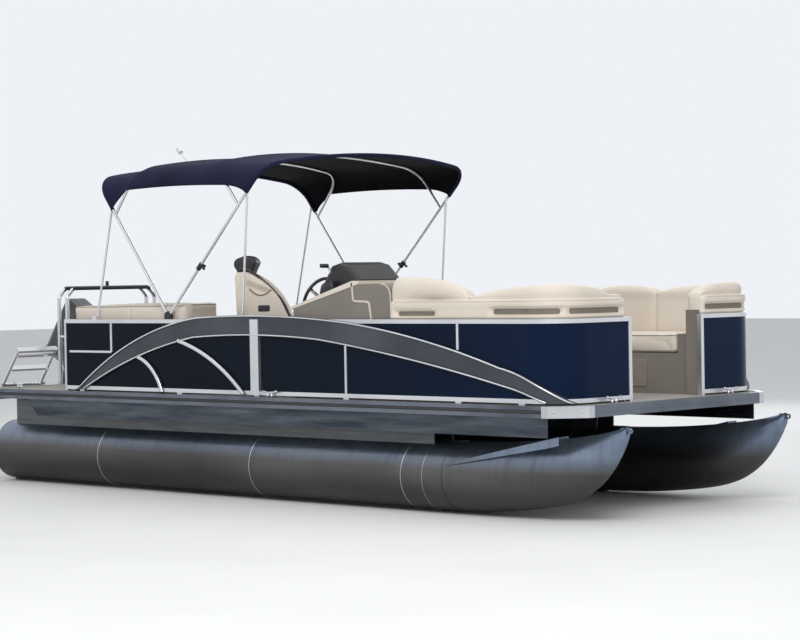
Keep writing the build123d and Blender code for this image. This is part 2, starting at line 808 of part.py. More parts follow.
# Boarding ladder, folded up: it turns over the stern, and its foot slides out
ladder_y = -(fence_half_width - 386)
ladder_half = 215.0
ladder_tube = 14.0
ladder_rod = 9.0
ladder_play = 0.08
ladder_pin = 7.0
ladder_hinge = (stern - 34, deck_top + 14)
ladder_top = (at(deck_length - 200), 1172.0)
ladder_lean = math.atan2(ladder_top[1] - ladder_hinge[1], ladder_top[0] - ladder_hinge[0])
ladder_length = math.dist(ladder_top, ladder_hinge)
ladder_plane = Plane(
    origin=(ladder_hinge[0], ladder_y, ladder_hinge[1]),
    x_dir=(0, 1, 0),
    z_dir=(math.cos(ladder_lean), 0, math.sin(ladder_lean)),
)
with BuildPart() as ladder_mount:
    for side in (-1, 1):
        middle = ladder_y + side * (ladder_half + ladder_tube + 14)
        with BuildSketch(Plane.XZ.offset(-middle)):
            with Locations(ladder_hinge):
                Circle(16)
            with Locations((stern, ladder_hinge[1] - 16)):
                Rectangle(34, 32, align=(Align.MAX, Align.MIN))
            with Locations((stern, deck_top - 60)):
                Rectangle(14, 76, align=(Align.MAX, Align.MIN))
        extrude(amount=6, both=True)
    with Locations(Location((ladder_hinge[0], ladder_y, ladder_hinge[1]), (90, 0, 0))):
        Cylinder(ladder_pin, 2 * (ladder_half + ladder_tube + 20))
ladder_mount.part.label = "ladder_mount"
export_step(ladder_mount.part, "parts/ladder_mount.step")

with BuildPart() as ladder_upper:
    with Locations(ladder_plane):
        with Locations((-ladder_half, 0, 20), (ladder_half, 0, 20)):
            Cylinder(ladder_tube, ladder_length - 20, align=(Align.CENTER, Align.CENTER, Align.MIN))
        with Locations(Location((0, 0, 0), (0, 90, 0))):
            Cylinder(16, 2 * (ladder_half + ladder_tube))
        with Locations((-ladder_half, 0, 0), (ladder_half, 0, 0)):
            Box(2 * ladder_tube, 2 * ladder_tube, 30, align=(Align.CENTER, Align.CENTER, Align.MIN))
        with Locations((0, 0, ladder_length - 30)):
            Box(2 * ladder_half, 56, 22)
        with Locations((0, 0, ladder_length - 190)):
            Box(2 * ladder_half, 56, 22)
        with Locations((-ladder_half, 0, 40), (ladder_half, 0, 40)):
            Cylinder(
                ladder_rod + ladder_play,
                ladder_length,
                align=(Align.CENTER, Align.CENTER, Align.MIN),
                mode=Mode.SUBTRACT,
            )
        with Locations(Location((0, 0, 0), (0, 90, 0))):
            Cylinder(ladder_pin + 0.06, 4 * ladder_half, mode=Mode.SUBTRACT)
ladder_upper.part.label = "ladder_upper"
export_step(ladder_upper.part, "parts/ladder_upper.step")

with BuildPart() as ladder_lower:
    with Locations(ladder_plane):
        with Locations((-ladder_half, 0, 44), (ladder_half, 0, 44)):
            Cylinder(ladder_rod, ladder_length - 34, align=(Align.CENTER, Align.CENTER, Align.MIN))
        with Locations((0, 0, ladder_length + 22)):
            Box(2 * ladder_half + 30, 56, 24)
ladder_lower.part.label = "ladder_lower"
export_step(ladder_lower.part, "parts/ladder_lower.step")

# Helm console: moulded body with the lounge's end block before it, and its dash cap
console_outer = -(fence_half_width - 56)
console_inner = console_outer + 690
block_inner = console_inner - 60
console_end = 1856.0
console_shape = (
    (2950.0, deck_top),
    (2950.0, 1564.0),
    (2282.0, 1764.0),
    (2240.0, 1764.0),
    (2240.0, deck_top),
)
block_top = 1752.0
block_round = 95.0
block_aft = 2245.0
dash_shape = (
    (2975.0, 1556.0),
    (2975.0, 1578.0),
    (2282.0, 1778.0),
    (2215.0, 1778.0),
    (2215.0, 1752.0),
)
dash_overhang = 5.0
with BuildPart() as console_body:
    with BuildSketch(Plane.XZ.offset(-console_outer)):
        with BuildLine():
            Polyline(*[(at(aft), z) for aft, z in console_shape], close=True)
        make_face()
    extrude(amount=-(console_inner - console_outer))
    with BuildSketch(Plane.XZ.offset(-console_outer)) as block:
        with Locations((at(block_aft), deck_top)):
            Rectangle(block_aft - console_end, block_top - deck_top, align=(Align.MIN, Align.MIN))
        fillet(block.vertices().sort_by(Axis.X)[-2:].sort_by(Axis.Z)[-1], block_round)
    extrude(amount=-(block_inner - console_outer))
console_body.part.label = "console_body"
export_step(console_body.part, "parts/console_body.step")

with BuildPart() as console_dash:
    with BuildSketch(Plane.XZ.offset(-console_outer + dash_overhang)):
        with BuildLine():
            Polyline(*[(at(aft), z) for aft, z in dash_shape], close=True)
        make_face()
    extrude(amount=-(console_inner - console_outer + 2 * dash_overhang))
    add(console_body.part, mode=Mode.SUBTRACT)
console_dash.part.label = "console_dash"
export_step(console_dash.part, "parts/console_dash.step")

# Instrument hood: a rounded brow over the gauges, hollowed towards the helm
hood_low = 1500.0
hood_half = 262.0
hood_wall = 14.0
hood_round = 55.0
helm_y = console_outer + 390
hood_shape = (
    (2790.0, hood_low),
    (2790.0, 1715.0),
    (2665.0, 1900.0),
    (2560.0, 1926.0),
    (2470.0, 1905.0),
    (2345.0, 1790.0),
    (2345.0, hood_low),
)
hood_hollow = (
    (2830.0, hood_low),
    (2830.0, 1860.0),
    (2650.0, 1872.0),
    (2560.0, 1896.0),
    (2500.0, 1870.0),
    (2500.0, hood_low),
)
with BuildPart() as instrument_hood:
    with BuildSketch(Plane.XZ.offset(-helm_y)):
        with BuildLine():
            Polyline(*[(at(aft), z) for aft, z in hood_shape], close=True)
        make_face()
    extrude(amount=hood_half, both=True)
    for face in (0, -1):
        side_edges = instrument_hood.faces().sort_by(Axis.Y)[face].edges()
        fillet([edge for edge in side_edges if edge.center().Z > 1700], hood_round)
    with BuildSketch(Plane.XZ.offset(-helm_y)):
        with BuildLine():
            Polyline(*[(at(aft), z) for aft, z in hood_hollow], close=True)
        make_face()
    extrude(amount=hood_half - hood_wall - hood_round / 2, both=True, mode=Mode.SUBTRACT)
    add(console_dash.part, mode=Mode.SUBTRACT)
    add(console_body.part, mode=Mode.SUBTRACT)
    keep = instrument_hood.solids().sort_by(Axis.Z)[-1]
    add(keep, mode=Mode.REPLACE)
instrument_hood.part.label = "instrument_hood"
export_step(instrument_hood.part, "parts/instrument_hood.step")

wheel_aft = 3040.0
wheel_height = 1640.0
wheel_centre = Vector(at(wheel_aft), helm_y, wheel_height)
wheel_tilt = 24.0
wheel_way = Vector(math.cos(math.radians(wheel_tilt)), 0, -math.sin(math.radians(wheel_tilt)))
wheel_plane = Plane(origin=wheel_centre, x_dir=(0, 1, 0), z_dir=wheel_way)
wheel_radius = 175.0
wheel_rim = 14.0
column_start = 40.0
with BuildPart() as steering_wheel:
    with Locations(wheel_plane):
        Torus(wheel_radius, wheel_rim)
        Cylinder(38, 2 * column_start - 8)
        for turn in (30, 150, 270):
            with Locations(Rotation(0, 0, turn)):
                Box(wheel_radius - wheel_rim + 4, 26, 9, align=(Align.MIN, Align.CENTER, Align.CENTER))
steering_wheel.part.label = "steering_wheel"
export_step(steering_wheel.part, "parts/steering_wheel.step")

with BuildPart() as steering_column:
    with Locations(wheel_plane):
        with Locations((0, 0, column_start - 4 + touch)):
            Cylinder(30, 200, align=(Align.CENTER, Align.CENTER, Align.MIN))
    add(console_dash.part, mode=Mode.SUBTRACT)
    add(console_body.part, mode=Mode.SUBTRACT)
    keep = steering_column.solids().sort_by(Axis.X)[0]
    add(keep, mode=Mode.REPLACE)
steering_column.part.label = "steering_column"
export_step(steering_column.part, "parts/steering_column.step")

# Helm chair on its pedestal, parked turned to port: a shell with side wings that slope
# from the back to the seat's front, hollowed for the sitter, and a headrest above it.
# Places on the chair are distances before its pedestal, and heights above the deck.
chair_turn = 40.0
chair_centre = (at(3645), console_outer + 450)
chair_half = 250.0
chair_wing = 66.0
chair_low = 365.0
chair_back = (
    ((-262.0, 365.0), (-296.0, 690.0), (-300.0, 940.0)),
    ((-300.0, 940.0), (-285.0, 1018.0), (-215.0, 1022.0)),
    ((-215.0, 1022.0), (-20.0, 900.0), (118.0, 688.0)),
    ((118.0, 688.0), (190.0, 590.0), (270.0, 545.0)),
    ((270.0, 545.0), (292.0, 500.0), (272.0, 365.0)),
)
chair_hollow = (
    ((-150.0, 1200.0), (-196.0, 850.0), (-150.0, 548.0)),
    ((-150.0, 548.0), (60.0, 528.0), (330.0, 522.0)),
)
headrest_half = 165.0
headrest_shape = (
    ((-196.0, 850.0), (-176.0, 1000.0), (-120.0, 1090.0)),
    ((-120.0, 1090.0), (-180.0, 1152.0), (-262.0, 1140.0)),
    ((-262.0, 1140.0), (-318.0, 1110.0), (-300.0, 1040.0)),
)
chair_way = (math.cos(math.radians(chair_turn)), math.sin(math.radians(chair_turn)), 0)
chair_plane = Plane(
    origin=(*chair_centre, deck_top),
    x_dir=chair_way,
    z_dir=(chair_way[1], -chair_way[0], 0),
)
with BuildPart() as helm_pedestal:
    with Locations((*chair_centre, deck_top)):
        Cylinder(175, 16, align=(Align.CENTER, Align.CENTER, Align.MIN))
        Cylinder(42, chair_low - touch, align=(Align.CENTER, Align.CENTER, Align.MIN))
helm_pedestal.part.label = "helm_pedestal"
export_step(helm_pedestal.part, "parts/helm_pedestal.step")

with BuildPart() as helm_seat:
    with BuildSketch(chair_plane):
        with BuildLine():
            for start, middle, end in chair_back:
                ThreePointArc(start, middle, end)
            Line(chair_back[-1][-1], chair_back[0][0])
        make_face()
    extrude(amount=chair_half, both=True)
    with BuildSketch(chair_plane):
        with BuildLine():
            for start, middle, end in chair_hollow:
                ThreePointArc(start, middle, end)
            Polyline(chair_hollow[-1][-1], (330, 1200), chair_hollow[0][0])
        make_face()
    extrude(amount=chair_half - chair_wing, both=True, mode=Mode.SUBTRACT)
    with BuildSketch(chair_plane):
        with BuildLine():
            for start, middle, end in headrest_shape:
                ThreePointArc(start, middle, end)
            Line(headrest_shape[-1][-1], headrest_shape[0][0])
        make_face()
    extrude(amount=headrest_half, both=True)
helm_seat.part.label = "helm_seat"
export_step(helm_seat.part, "parts/helm_seat.step")

# Lounges: moulded base with a storage well, hinged seat cushion, and backs that
# follow the fence round the corner, with a cap that overhangs the rail
lounge_gap = 46.0
back_depth = 130.0
lounge_front = 560.0
base_top = 1170.0
seat_top = 1320.0
cap_low = fence_top + 32.0
cap_top = 1625.0
lounge_aft = 1850.0
lid_fore = 450.0
lid_gap = 6.0
base_wall = 25.0
back_end = 470.0
# Tops of the bow backs, as (distance aft, height) of arcs' starts, middles and ends
bow_humps = {
    "starboard": (
        ((1850.0, 1800.0), (1400.0, 1758.0), (1062.0, 1645.0)),
        ((1062.0, 1645.0), (560.0, 1742.0), (100.0, 1720.0)),
    ),
    "port": (
        ((1850.0, 1640.0), (1400.0, 1700.0), (1062.0, 1645.0)),
        ((1062.0, 1645.0), (560.0, 1700.0), (100.0, 1690.0)),
    ),
}
gate_end_top = 1660.0


def lounge_area(inset, aft, fore, inner, side):
    """Part of the fence's inside between two distances aft, outboard of inner."""
    with BuildSketch() as area:
        add(fence_plan(inset))
        with Locations(((at(aft) + at(fore)) / 2, side * (inner + beam) / 2)):
            Rectangle(aft - fore, beam - inner, mode=Mode.INTERSECT)
    return area.sketch


for name, side in SIDES:
    with BuildPart() as lounge_base:
        with BuildSketch(Plane.XY.offset(deck_top)):
            add(lounge_area(lounge_gap, lounge_aft, 0, lounge_front, side))
        extrude(amount=base_top - deck_top)
        with BuildSketch(Plane.XY.offset(base_top)):
            add(
                lounge_area(
                    lounge_gap + back_depth + lid_gap + base_wall,
                    lounge_aft - base_wall,
                    lid_fore + base_wall,
                    lounge_front + base_wall,
                    side,
                )
            )
        extrude(amount=-(base_top - deck_top - base_wall), mode=Mode.SUBTRACT)
        with BuildSketch(Plane.XY.offset(base_top)):
            add(lounge_area(lounge_gap + back_depth + touch, lid_fore - lid_gap, 0, lounge_front, side))
        extrude(amount=seat_top - base_top)
        with BuildSketch(Plane.XY.offset(deck_top)):
            add(lounge_area(lounge_gap, lid_fore, 0, back_end, side))
            add(lounge_area(lounge_gap + back_depth, lid_fore, 0, back_end, side), mode=Mode.SUBTRACT)
            add(lounge_area(lounge_gap, lid_fore, 0, lounge_front, side), mode=Mode.SUBTRACT)
        extrude(amount=cap_low - deck_top - touch)
    lounge_base.part.label = f"lounge_base_{name}"
    export_step(lounge_base.part, f"parts/lounge_base_{name}.step")

    with BuildPart() as lounge_seat:
        with BuildSketch(Plane.XY.offset(base_top + touch)):
            add(
                lounge_area(
                    lounge_gap + back_depth + lid_gap,
                    lounge_aft,
                    lid_fore,
                    lounge_front - 15,
                    side,
                )
            )
        extrude(amount=seat_top - base_top)
    lounge_seat.part.label = f"lounge_seat_{name}"
    export_step(lounge_seat.part, f"parts/lounge_seat_{name}.step")

    humps = bow_humps[name]
    peak = max(height for arc in humps for aft, height in arc)
    with BuildPart() as lounge_back:
        with BuildSketch(Plane.XY.offset(base_top)):
            add(lounge_area(lounge_gap, lounge_aft, 0, lounge_front, side))
            add(fence_plan(lounge_gap + back_depth), mode=Mode.SUBTRACT)
        extrude(amount=cap_low - base_top)
        with BuildSketch(Plane.XY.offset(cap_low)):
            add(lounge_area(6, lounge_aft, 0, back_end, side))
            add(fence_plan(lounge_gap + back_depth), mode=Mode.SUBTRACT)
        extrude(amount=cap_top - cap_low)
        with BuildPart(mode=Mode.ADD):
            with BuildSketch(Plane.XY.offset(cap_top - 20)):
                add(lounge_area(lounge_gap - 10, lounge_aft, 0, back_end + 12, side))
                add(fence_plan(lounge_gap + back_depth), mode=Mode.SUBTRACT)
            extrude(amount=peak - cap_top + 40)
            with BuildSketch(Plane.XZ):
                with BuildLine():
                    for arc in humps:
                        ThreePointArc(*[(at(aft), height) for aft, height in arc])
                    Polyline(
                        (at(humps[-1][-1][0]), humps[-1][-1][1]),
                        (at(humps[-1][-1][0]), base_top),
                        (at(humps[0][0][0]), base_top),
                        (at(humps[0][0][0]), humps[0][0][1]),
                    )
                make_face()
            extrude(amount=beam, both=True, mode=Mode.INTERSECT)
            with BuildSketch(Plane.YZ.offset(stern)):
                with BuildLine():
                    ThreePointArc(
                        (side * back_end, gate_end_top - 20),
                        (side * (back_end + 110), gate_end_top + 40),
                        (side * (back_end + 500), peak + 5),
                    )
                    Polyline(
                        (side * (back_end + 500), peak + 5),
                        (side * beam, peak + 5),
                        (side * beam, base_top),
                        (side * back_end, base_top),
                        (side * back_end, gate_end_top - 20),
                    )
                make_face()
            extrude(amount=deck_length, mode=Mode.INTERSECT)
    lounge_back.part.label = f"lounge_back_{name}"
    export_step(lounge_back.part, f"parts/lounge_back_{name}.step")

# Aft lounge: an L along the starboard side and the stern, and the port couch
aft_lounge_fore = 4300.0
aft_lounge_depth = 560.0
aft_lounge_port = stern_gate[0] - 90
couch_aft = 4950.0
couch_fore = 2450.0
aft_seat_top = 1300.0
aft_back_top = 1600.0
aft_gap = 72.0
with BuildSketch() as aft_outline:
    add(lounge_area(aft_gap, fence_stern, aft_lounge_fore, lounge_front, -1))
    with Locations((at(fence_stern), (aft_lounge_port - fence_half_width) / 2)):
        Rectangle(
            2 * aft_lounge_depth + 2 * aft_gap,
            aft_lounge_port + fence_half_width,
            mode=Mode.ADD,
        )
    add(fence_plan(aft_gap), mode=Mode.INTERSECT)
with BuildSketch() as aft_back_outline:
    add(aft_outline.sketch)
    add(fence_plan(aft_gap + back_depth), mode=Mode.SUBTRACT)
couch_outline = lounge_area(aft_gap, couch_aft, couch_fore, lounge_front, 1)
with BuildSketch() as couch_back_outline:
    add(couch_outline)
    add(fence_plan(aft_gap + back_depth), mode=Mode.SUBTRACT)

for name, outline, back_outline in (
    ("aft", aft_outline.sketch, aft_back_outline.sketch),
    ("couch", couch_outline, couch_back_outline.sketch),
):
    with BuildPart() as seat_base:
        with BuildSketch(Plane.XY.offset(deck_top)):
            add(outline)
        extrude(amount=base_top - deck_top)
    seat_base.part.label = f"{name}_base"
    export_step(seat_base.part, f"parts/{name}_base.step")

    with BuildPart() as seat_cushion:
        with BuildSketch(Plane.XY.offset(base_top)):
            add(outline)
            add(fence_plan(aft_gap + back_depth + touch), mode=Mode.INTERSECT)
        extrude(amount=aft_seat_top - base_top)
    seat_cushion.part.label = f"{name}_seat"
    export_step(seat_cushion.part, f"parts/{name}_seat.step")

    with BuildPart() as seat_back:
        with BuildSketch(Plane.XY.offset(base_top)):
            add(back_outline)
        extrude(amount=cap_low - base_top)
        with BuildSketch(Plane.XY.offset(cap_low)):
            add(back_outline)
        extrude(amount=aft_back_top - cap_low)
    seat_back.part.label = f"{name}_back"
    export_step(seat_back.part, f"parts/{name}_back.step")

# Outboard motor, drawn upright about its tilt axis and then trimmed up as it parks
tilt_x = stern - tilt_gap
tilt_axis = Axis((tilt_x, 0, tilt_z), (0, 1, 0))
clamp_half = 120.0
clamp_wall = 24.0
tilt_pin = 14.0
pin_play = 0.06
steer_aft = 85.0
steer_pin = 20.0


def leg_x(aft):
    """X of a place given by its distance behind the tilt axis, motor upright."""
    return tilt_x - aft


with BuildPart() as outboard_clamp:
    for side in (-1, 1):
        with BuildSketch(Plane.XZ.offset(-side * (clamp_half + clamp_wall / 2))):
            with BuildLine():
                Polyline(
                    (at(transom_aft) - transom_thickness, tilt_z - 300),
                    (at(transom_aft) - transom_thickness, tilt_z - 64),
                    (leg_x(-18), tilt_z + 28),
                    (leg_x(18), tilt_z + 28),
                    (leg_x(30), tilt_z),
                    (leg_x(18), tilt_z - 30),
                    (leg_x(-20), tilt_z - 300),
                    close=True,
                )
            make_face()
        extrude(amount=clamp_wall / 2, both=True)
    with Locations(Location((tilt_x, 0, tilt_z), (90, 0, 0))):
        Cylinder(tilt_pin, 2 * clamp_half + 2 * clamp_wall)
outboard_clamp.part.label = "outboard_clamp"
export_step(outboard_clamp.part, "parts/outboard_clamp.step")

with BuildPart() as outboard_swivel:
    with Locations(Location((tilt_x, 0, tilt_z), (90, 0, 0))):
        Cylinder(28, 2 * clamp_half - 12)
    with Locations((leg_x(steer_aft), 0, tilt_z - 30)):
        Cylinder(36, 300, align=(Align.CENTER, Align.CENTER, Align.MAX))
    with BuildSketch(Plane.XZ):
        with BuildLine():
            Polyline(
                (leg_x(-10), tilt_z - 20),
                (leg_x(10), tilt_z + 20),
                (leg_x(steer_aft), tilt_z - 30),
                (leg_x(steer_aft), tilt_z - 330),
                (leg_x(steer_aft - 20), tilt_z - 330),
                close=True,
            )
        make_face()
    extrude(amount=30, both=True)
    with Locations(Location((tilt_x, 0, tilt_z), (90, 0, 0))):
        Cylinder(tilt_pin + pin_play, 400, mode=Mode.SUBTRACT)
    with Locations((leg_x(steer_aft), 0, tilt_z - 200)):
        Cylinder(steer_pin + pin_play, 600, mode=Mode.SUBTRACT)
    add(outboard_swivel.part.rotate(tilt_axis, parked_trim), mode=Mode.REPLACE)
outboard_swivel.part.label = "outboard_swivel"
export_step(outboard_swivel.part, "parts/outboard_swivel.step")

shaft_z = tilt_z - shaft_drop
gear_radius = 55.0
gear_fore = 90.0
prop_shaft = 10.0
cowl_fore = -20.0
cowl_aft = 560.0
cowl_half = 165.0
tray_low = 62.0
cowl_low = 84.0
cowl_high = 640.0
with BuildPart() as outboard_leg:
    with Locations((leg_x(steer_aft), 0, tilt_z - 360)):
        Cylinder(steer_pin, 380, align=(Align.CENTER, Align.CENTER, Align.MIN))
    for low, thick in ((tilt_z - 5, 67), (tilt_z - 375, 38)):
        with Locations((leg_x(steer_aft), 0, low)):
            Cylinder(30, thick, align=(Align.CENTER, Align.CENTER, Align.MIN))
            Box(240, 56, thick, align=(Align.MAX, Align.CENTER, Align.MIN))
    with BuildSketch(Plane.XY.offset(tilt_z - 640)):
        with Locations((leg_x(240), 0)):
            Ellipse(100, 60)
    extrude(amount=660)
    with BuildSketch(Plane.XY.offset(tilt_z - 650)):
        with Locations((leg_x(270), 0)):
            Ellipse(210, 125)
    extrude(amount=12)
    with BuildSketch(Plane.XY.offset(shaft_z)):
        with Locations((leg_x(240), 0)):
            Ellipse(105, 26)
    extrude(amount=shaft_drop - 640)
    with BuildSketch(Plane.XZ):
        with BuildLine():
            ThreePointArc(
                (leg_x(gear_fore), shaft_z),
                (leg_x(gear_fore + 30), shaft_z + gear_radius * 0.75),
                (leg_x(gear_fore + 110), shaft_z + gear_radius),
            )
            Line((leg_x(gear_fore + 110), shaft_z + gear_radius), (leg_x(gear_aft), shaft_z + hub_radius))
            Line((leg_x(gear_aft), shaft_z + hub_radius), (leg_x(gear_aft), shaft_z))
            Line((leg_x(gear_aft), shaft_z), (leg_x(gear_fore), shaft_z))
        make_face()
    revolve(axis=Axis((leg_x(gear_fore), 0, shaft_z), (-1, 0, 0)))
    with BuildSketch(Plane.XZ):
        with BuildLine():
            Polyline(
                (leg_x(170), shaft_z - 30),
                (leg_x(240), shaft_z - 190),
                (leg_x(345), shaft_z - 190),
                (leg_x(350), shaft_z - 30),
                close=True,
            )
        make_face()
    extrude(amount=6, both=True)
    with Locations(Location((leg_x(gear_aft), 0, shaft_z), (0, -90, 0))):
        Cylinder(prop_shaft, prop_gap + hub_length, align=(Align.CENTER, Align.CENTER, Align.MIN))
    with BuildSketch(Plane.XY.offset(tilt_z + tray_low)):
        with Locations((leg_x((cowl_fore + cowl_aft) / 2), 0)):
            RectangleRounded(cowl_aft - cowl_fore, 2 * cowl_half, 90)
    extrude(amount=cowl_low - tray_low)
    add(outboard_leg.part.rotate(tilt_axis, parked_trim), mode=Mode.REPLACE)
outboard_leg.part.label = "outboard_leg"
export_step(outboard_leg.part, "parts/outboard_leg.step")

with BuildPart() as outboard_cowl:
    with BuildSketch(Plane.XY.offset(tilt_z + cowl_low)):
        with Locations((leg_x((cowl_fore + cowl_aft) / 2), 0)):
            RectangleRounded(cowl_aft - cowl_fore, 2 * cowl_half, 90)
    extrude(amount=cowl_high - cowl_low, taper=4)
    fillet(outboard_cowl.edges().group_by(Axis.Z)[-1], 70)
    offset(amount=-6, openings=outboard_cowl.faces().sort_by(Axis.Z)[0])
    add(outboard_cowl.part.rotate(tilt_axis, parked_trim), mode=Mode.REPLACE)
outboard_cowl.part.label = "outboard_cowl"
export_step(outboard_cowl.part, "parts/outboard_cowl.step")

with BuildPart() as powerhead:
    with Locations((leg_x(260), 0, tilt_z + cowl_low)):
        Box(380, 210, 400, align=(Align.CENTER, Align.CENTER, Align.MIN))
    add(powerhead.part.rotate(tilt_axis, parked_trim), mode=Mode.REPLACE)
powerhead.part.label = "powerhead"
export_step(powerhead.part, "parts/powerhead.step")

blade_count = 3
blade_pitch = 24.0
blade_reach = 175.0
blade_place = 44.0
with BuildPart() as propeller:
    hub_plane = Plane(origin=(leg_x(gear_aft + prop_gap), 0, shaft_z), x_dir=(0, 1, 0), z_dir=(-1, 0, 0))
    with BuildSketch(hub_plane):
        Circle(hub_radius)
    extrude(amount=hub_length)
    for blade in range(blade_count):
        turn = math.radians(90 + 360 / blade_count * blade)
        pitch = math.radians(blade_pitch)
        radial = Vector(0, math.cos(turn), math.sin(turn))
        tangent = Vector(0, -math.sin(turn), math.cos(turn))
        normal = Vector(-math.cos(pitch), 0, 0) + tangent * math.sin(pitch)
        root = Vector(leg_x(gear_aft + prop_gap + blade_place), 0, shaft_z)
        with BuildSketch(Plane(origin=root, x_dir=radial, z_dir=normal)):
            with Locations((20 + (blade_reach - 20) / 2, 0)):
                Ellipse((blade_reach - 20) / 2, 46)
        extrude(amount=3, both=True)
    with Locations(Location((leg_x(gear_aft), 0, shaft_z), (0, -90, 0))):
        Cylinder(prop_shaft + pin_play, 300, mode=Mode.SUBTRACT)
    add(propeller.part.rotate(tilt_axis, parked_trim), mode=Mode.REPLACE)
propeller.part.label = "propeller"
export_step(propeller.part, "parts/propeller.step")
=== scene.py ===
"""Pontoon boat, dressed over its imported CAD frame: finishes, canopy cloth, seats and trim.

Metres. +X points to the bow, +Y to port and +Z up; the keels stand on Z = 0.
"""

import math

import bmesh
import bpy
import numpy as np
from mathutils import Matrix, Vector
from mathutils.bvhtree import BVHTree


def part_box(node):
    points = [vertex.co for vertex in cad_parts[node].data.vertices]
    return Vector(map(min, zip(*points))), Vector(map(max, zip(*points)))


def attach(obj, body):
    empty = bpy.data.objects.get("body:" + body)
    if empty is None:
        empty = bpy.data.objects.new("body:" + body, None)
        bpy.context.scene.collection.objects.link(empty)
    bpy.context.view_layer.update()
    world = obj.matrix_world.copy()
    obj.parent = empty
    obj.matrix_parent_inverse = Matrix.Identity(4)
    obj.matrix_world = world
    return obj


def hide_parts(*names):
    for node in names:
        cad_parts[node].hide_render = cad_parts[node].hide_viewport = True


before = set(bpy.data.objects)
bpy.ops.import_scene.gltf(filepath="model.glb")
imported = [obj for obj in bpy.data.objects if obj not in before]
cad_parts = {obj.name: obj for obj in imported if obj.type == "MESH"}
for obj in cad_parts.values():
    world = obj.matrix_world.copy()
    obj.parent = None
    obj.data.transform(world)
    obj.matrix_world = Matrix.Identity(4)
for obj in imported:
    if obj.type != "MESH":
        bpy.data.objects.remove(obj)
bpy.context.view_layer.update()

# The camera stands off the starboard bow, a little above the rails. A long lens takes in
# the whole boat.
deck_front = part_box("corner_castings")[1].x
camera_place = Vector((deck_front + 10.7269, -14.2116, 1.7986))
camera_yaw = 0.7648
camera_pitch = -0.0181
camera_roll = -0.0174
camera_focal_px = 2352.1
image_width_px = 800

lens = bpy.data.cameras.new("camera")
lens.sensor_width = 36.0
lens.lens = camera_focal_px * lens.sensor_width / image_width_px
lens.clip_end = 200.0
camera = bpy.data.objects.new("camera", lens)
bpy.context.scene.collection.objects.link(camera)
camera.matrix_world = (
    Matrix.Translation(camera_place)
    @ Matrix.Rotation(camera_yaw, 4, "Z")
    @ Matrix.Rotation(math.pi / 2 + camera_pitch, 4, "X")
    @ Matrix.Rotation(camera_roll, 4, "Z")
)
bpy.context.scene.camera = camera


# A plain pale floor lies under the keels. The world is pale too, and broad soft lamps
# hang overhead and off the starboard bow.
class Wire:
    """A shader socket that Python arithmetic works on: each operator adds its Math node."""

    def __init__(self, tree, socket=None):
        self.tree = tree
        self.socket = socket

    def add(self, kind, settings=None, inputs=None, output=0):
        """Adds a node of a kind with its settings and inputs, and returns one output."""
        node = self.tree.nodes.new(kind)
        for name, value in (settings or {}).items():
            setattr(node, name, value)
        for name, value in (inputs or {}).items():
            feed(node.inputs[name], value)
        return Wire(self.tree, node.outputs[output])

    def math(self, operation, first, second=0.0):
        return self.add("ShaderNodeMath", {"operation": operation}, {0: first, 1: second})

    def noise(self, scale, detail, stretch=(1.0, 1.0, 1.0)):
        """Noise over the object's own coordinates, in features per metre."""
        place = self.add("ShaderNodeTexCoord", output=3)
        place = self.add(
            "ShaderNodeVectorMath", {"operation": "MULTIPLY"}, {0: place, 1: stretch}
        )
        inputs = {"Vector": place, "Scale": scale, "Detail": detail}
        return self.add("ShaderNodeTexNoise", None, inputs)

    def along(self, axis):
        """One of the object's own coordinates: X, Y or Z."""
        place = self.add("ShaderNodeTexCoord", output=3)
        return self.add("ShaderNodeSeparateXYZ", None, {0: place}, "XYZ".index(axis))

    def step(self, low, high):
        """This value taken from 0 at low to 1 at high, and held beyond them."""
        inputs = {"Value": self, "From Min": low, "From Max": high}
        return self.add("ShaderNodeMapRange", {"clamp": True}, inputs)

    def mix(self, first, second):
        """A colour between two, this value being the second's share."""
        inputs = {"Factor": self, 6: first, 7: second}
        return self.add("ShaderNodeMix", {"data_type": "RGBA"}, inputs, output=2)

    def bump(self, strength, distance):
        """A normal from this value, as metres of relief."""
        inputs = {"Height": self, "Strength": strength, "Distance": distance}
        return self.add("ShaderNodeBump", None, inputs)


signs = {"add": "ADD", "sub": "SUBTRACT", "mul": "MULTIPLY", "truediv": "DIVIDE"}
for sign, operation in signs.items():
    setattr(Wire, f"__{sign}__", lambda own, other, kind=operation: own.math(kind, own, other))
    setattr(Wire, f"__r{sign}__", lambda own, other, kind=operation: own.math(kind, other, own))


def feed(socket, value):
    """Links a wire to a socket, or sets a number, vector or colour in it."""
    if isinstance(value, Wire):
        value.tree.links.new(value.socket, socket)
    else:
        socket.default_value = (*value, 1.0) if socket.type == "RGBA" else value


def finish(name, color, **sockets):
    """A new material's start: its wire, and a call that feeds the shader's sockets."""
    material = bpy.data.materials.new(name)
    material.use_nodes = True
    shader = material.node_tree.nodes["Principled BSDF"]

    def give(**values):
        for socket, value in values.items():
            feed(shader.inputs[socket.replace("_", " ")], value)

    give(Base_Color=color, **sockets)
    return material, Wire(material.node_tree), give


floor_half = 60.0
pale, wire, give = finish("pale_floor", (0.80, 0.80, 0.79), Roughness=0.85)
cloud = wire.noise(0.8, 2.0).step(0.3, 0.7)
give(Base_Color=cloud.mix((0.79, 0.79, 0.78), (0.82, 0.82, 0.81)))
sheet = bpy.data.meshes.new("floor")
corners = ((-1, -1), (1, -1), (1, 1), (-1, 1))
sheet.from_pydata([(x * floor_half, y * floor_half, -0.001) for x, y in corners], [], [range(4)])
sheet.materials.append(pale)
floor = bpy.data.objects.new("floor", sheet)
bpy.context.scene.collection.objects.link(floor)

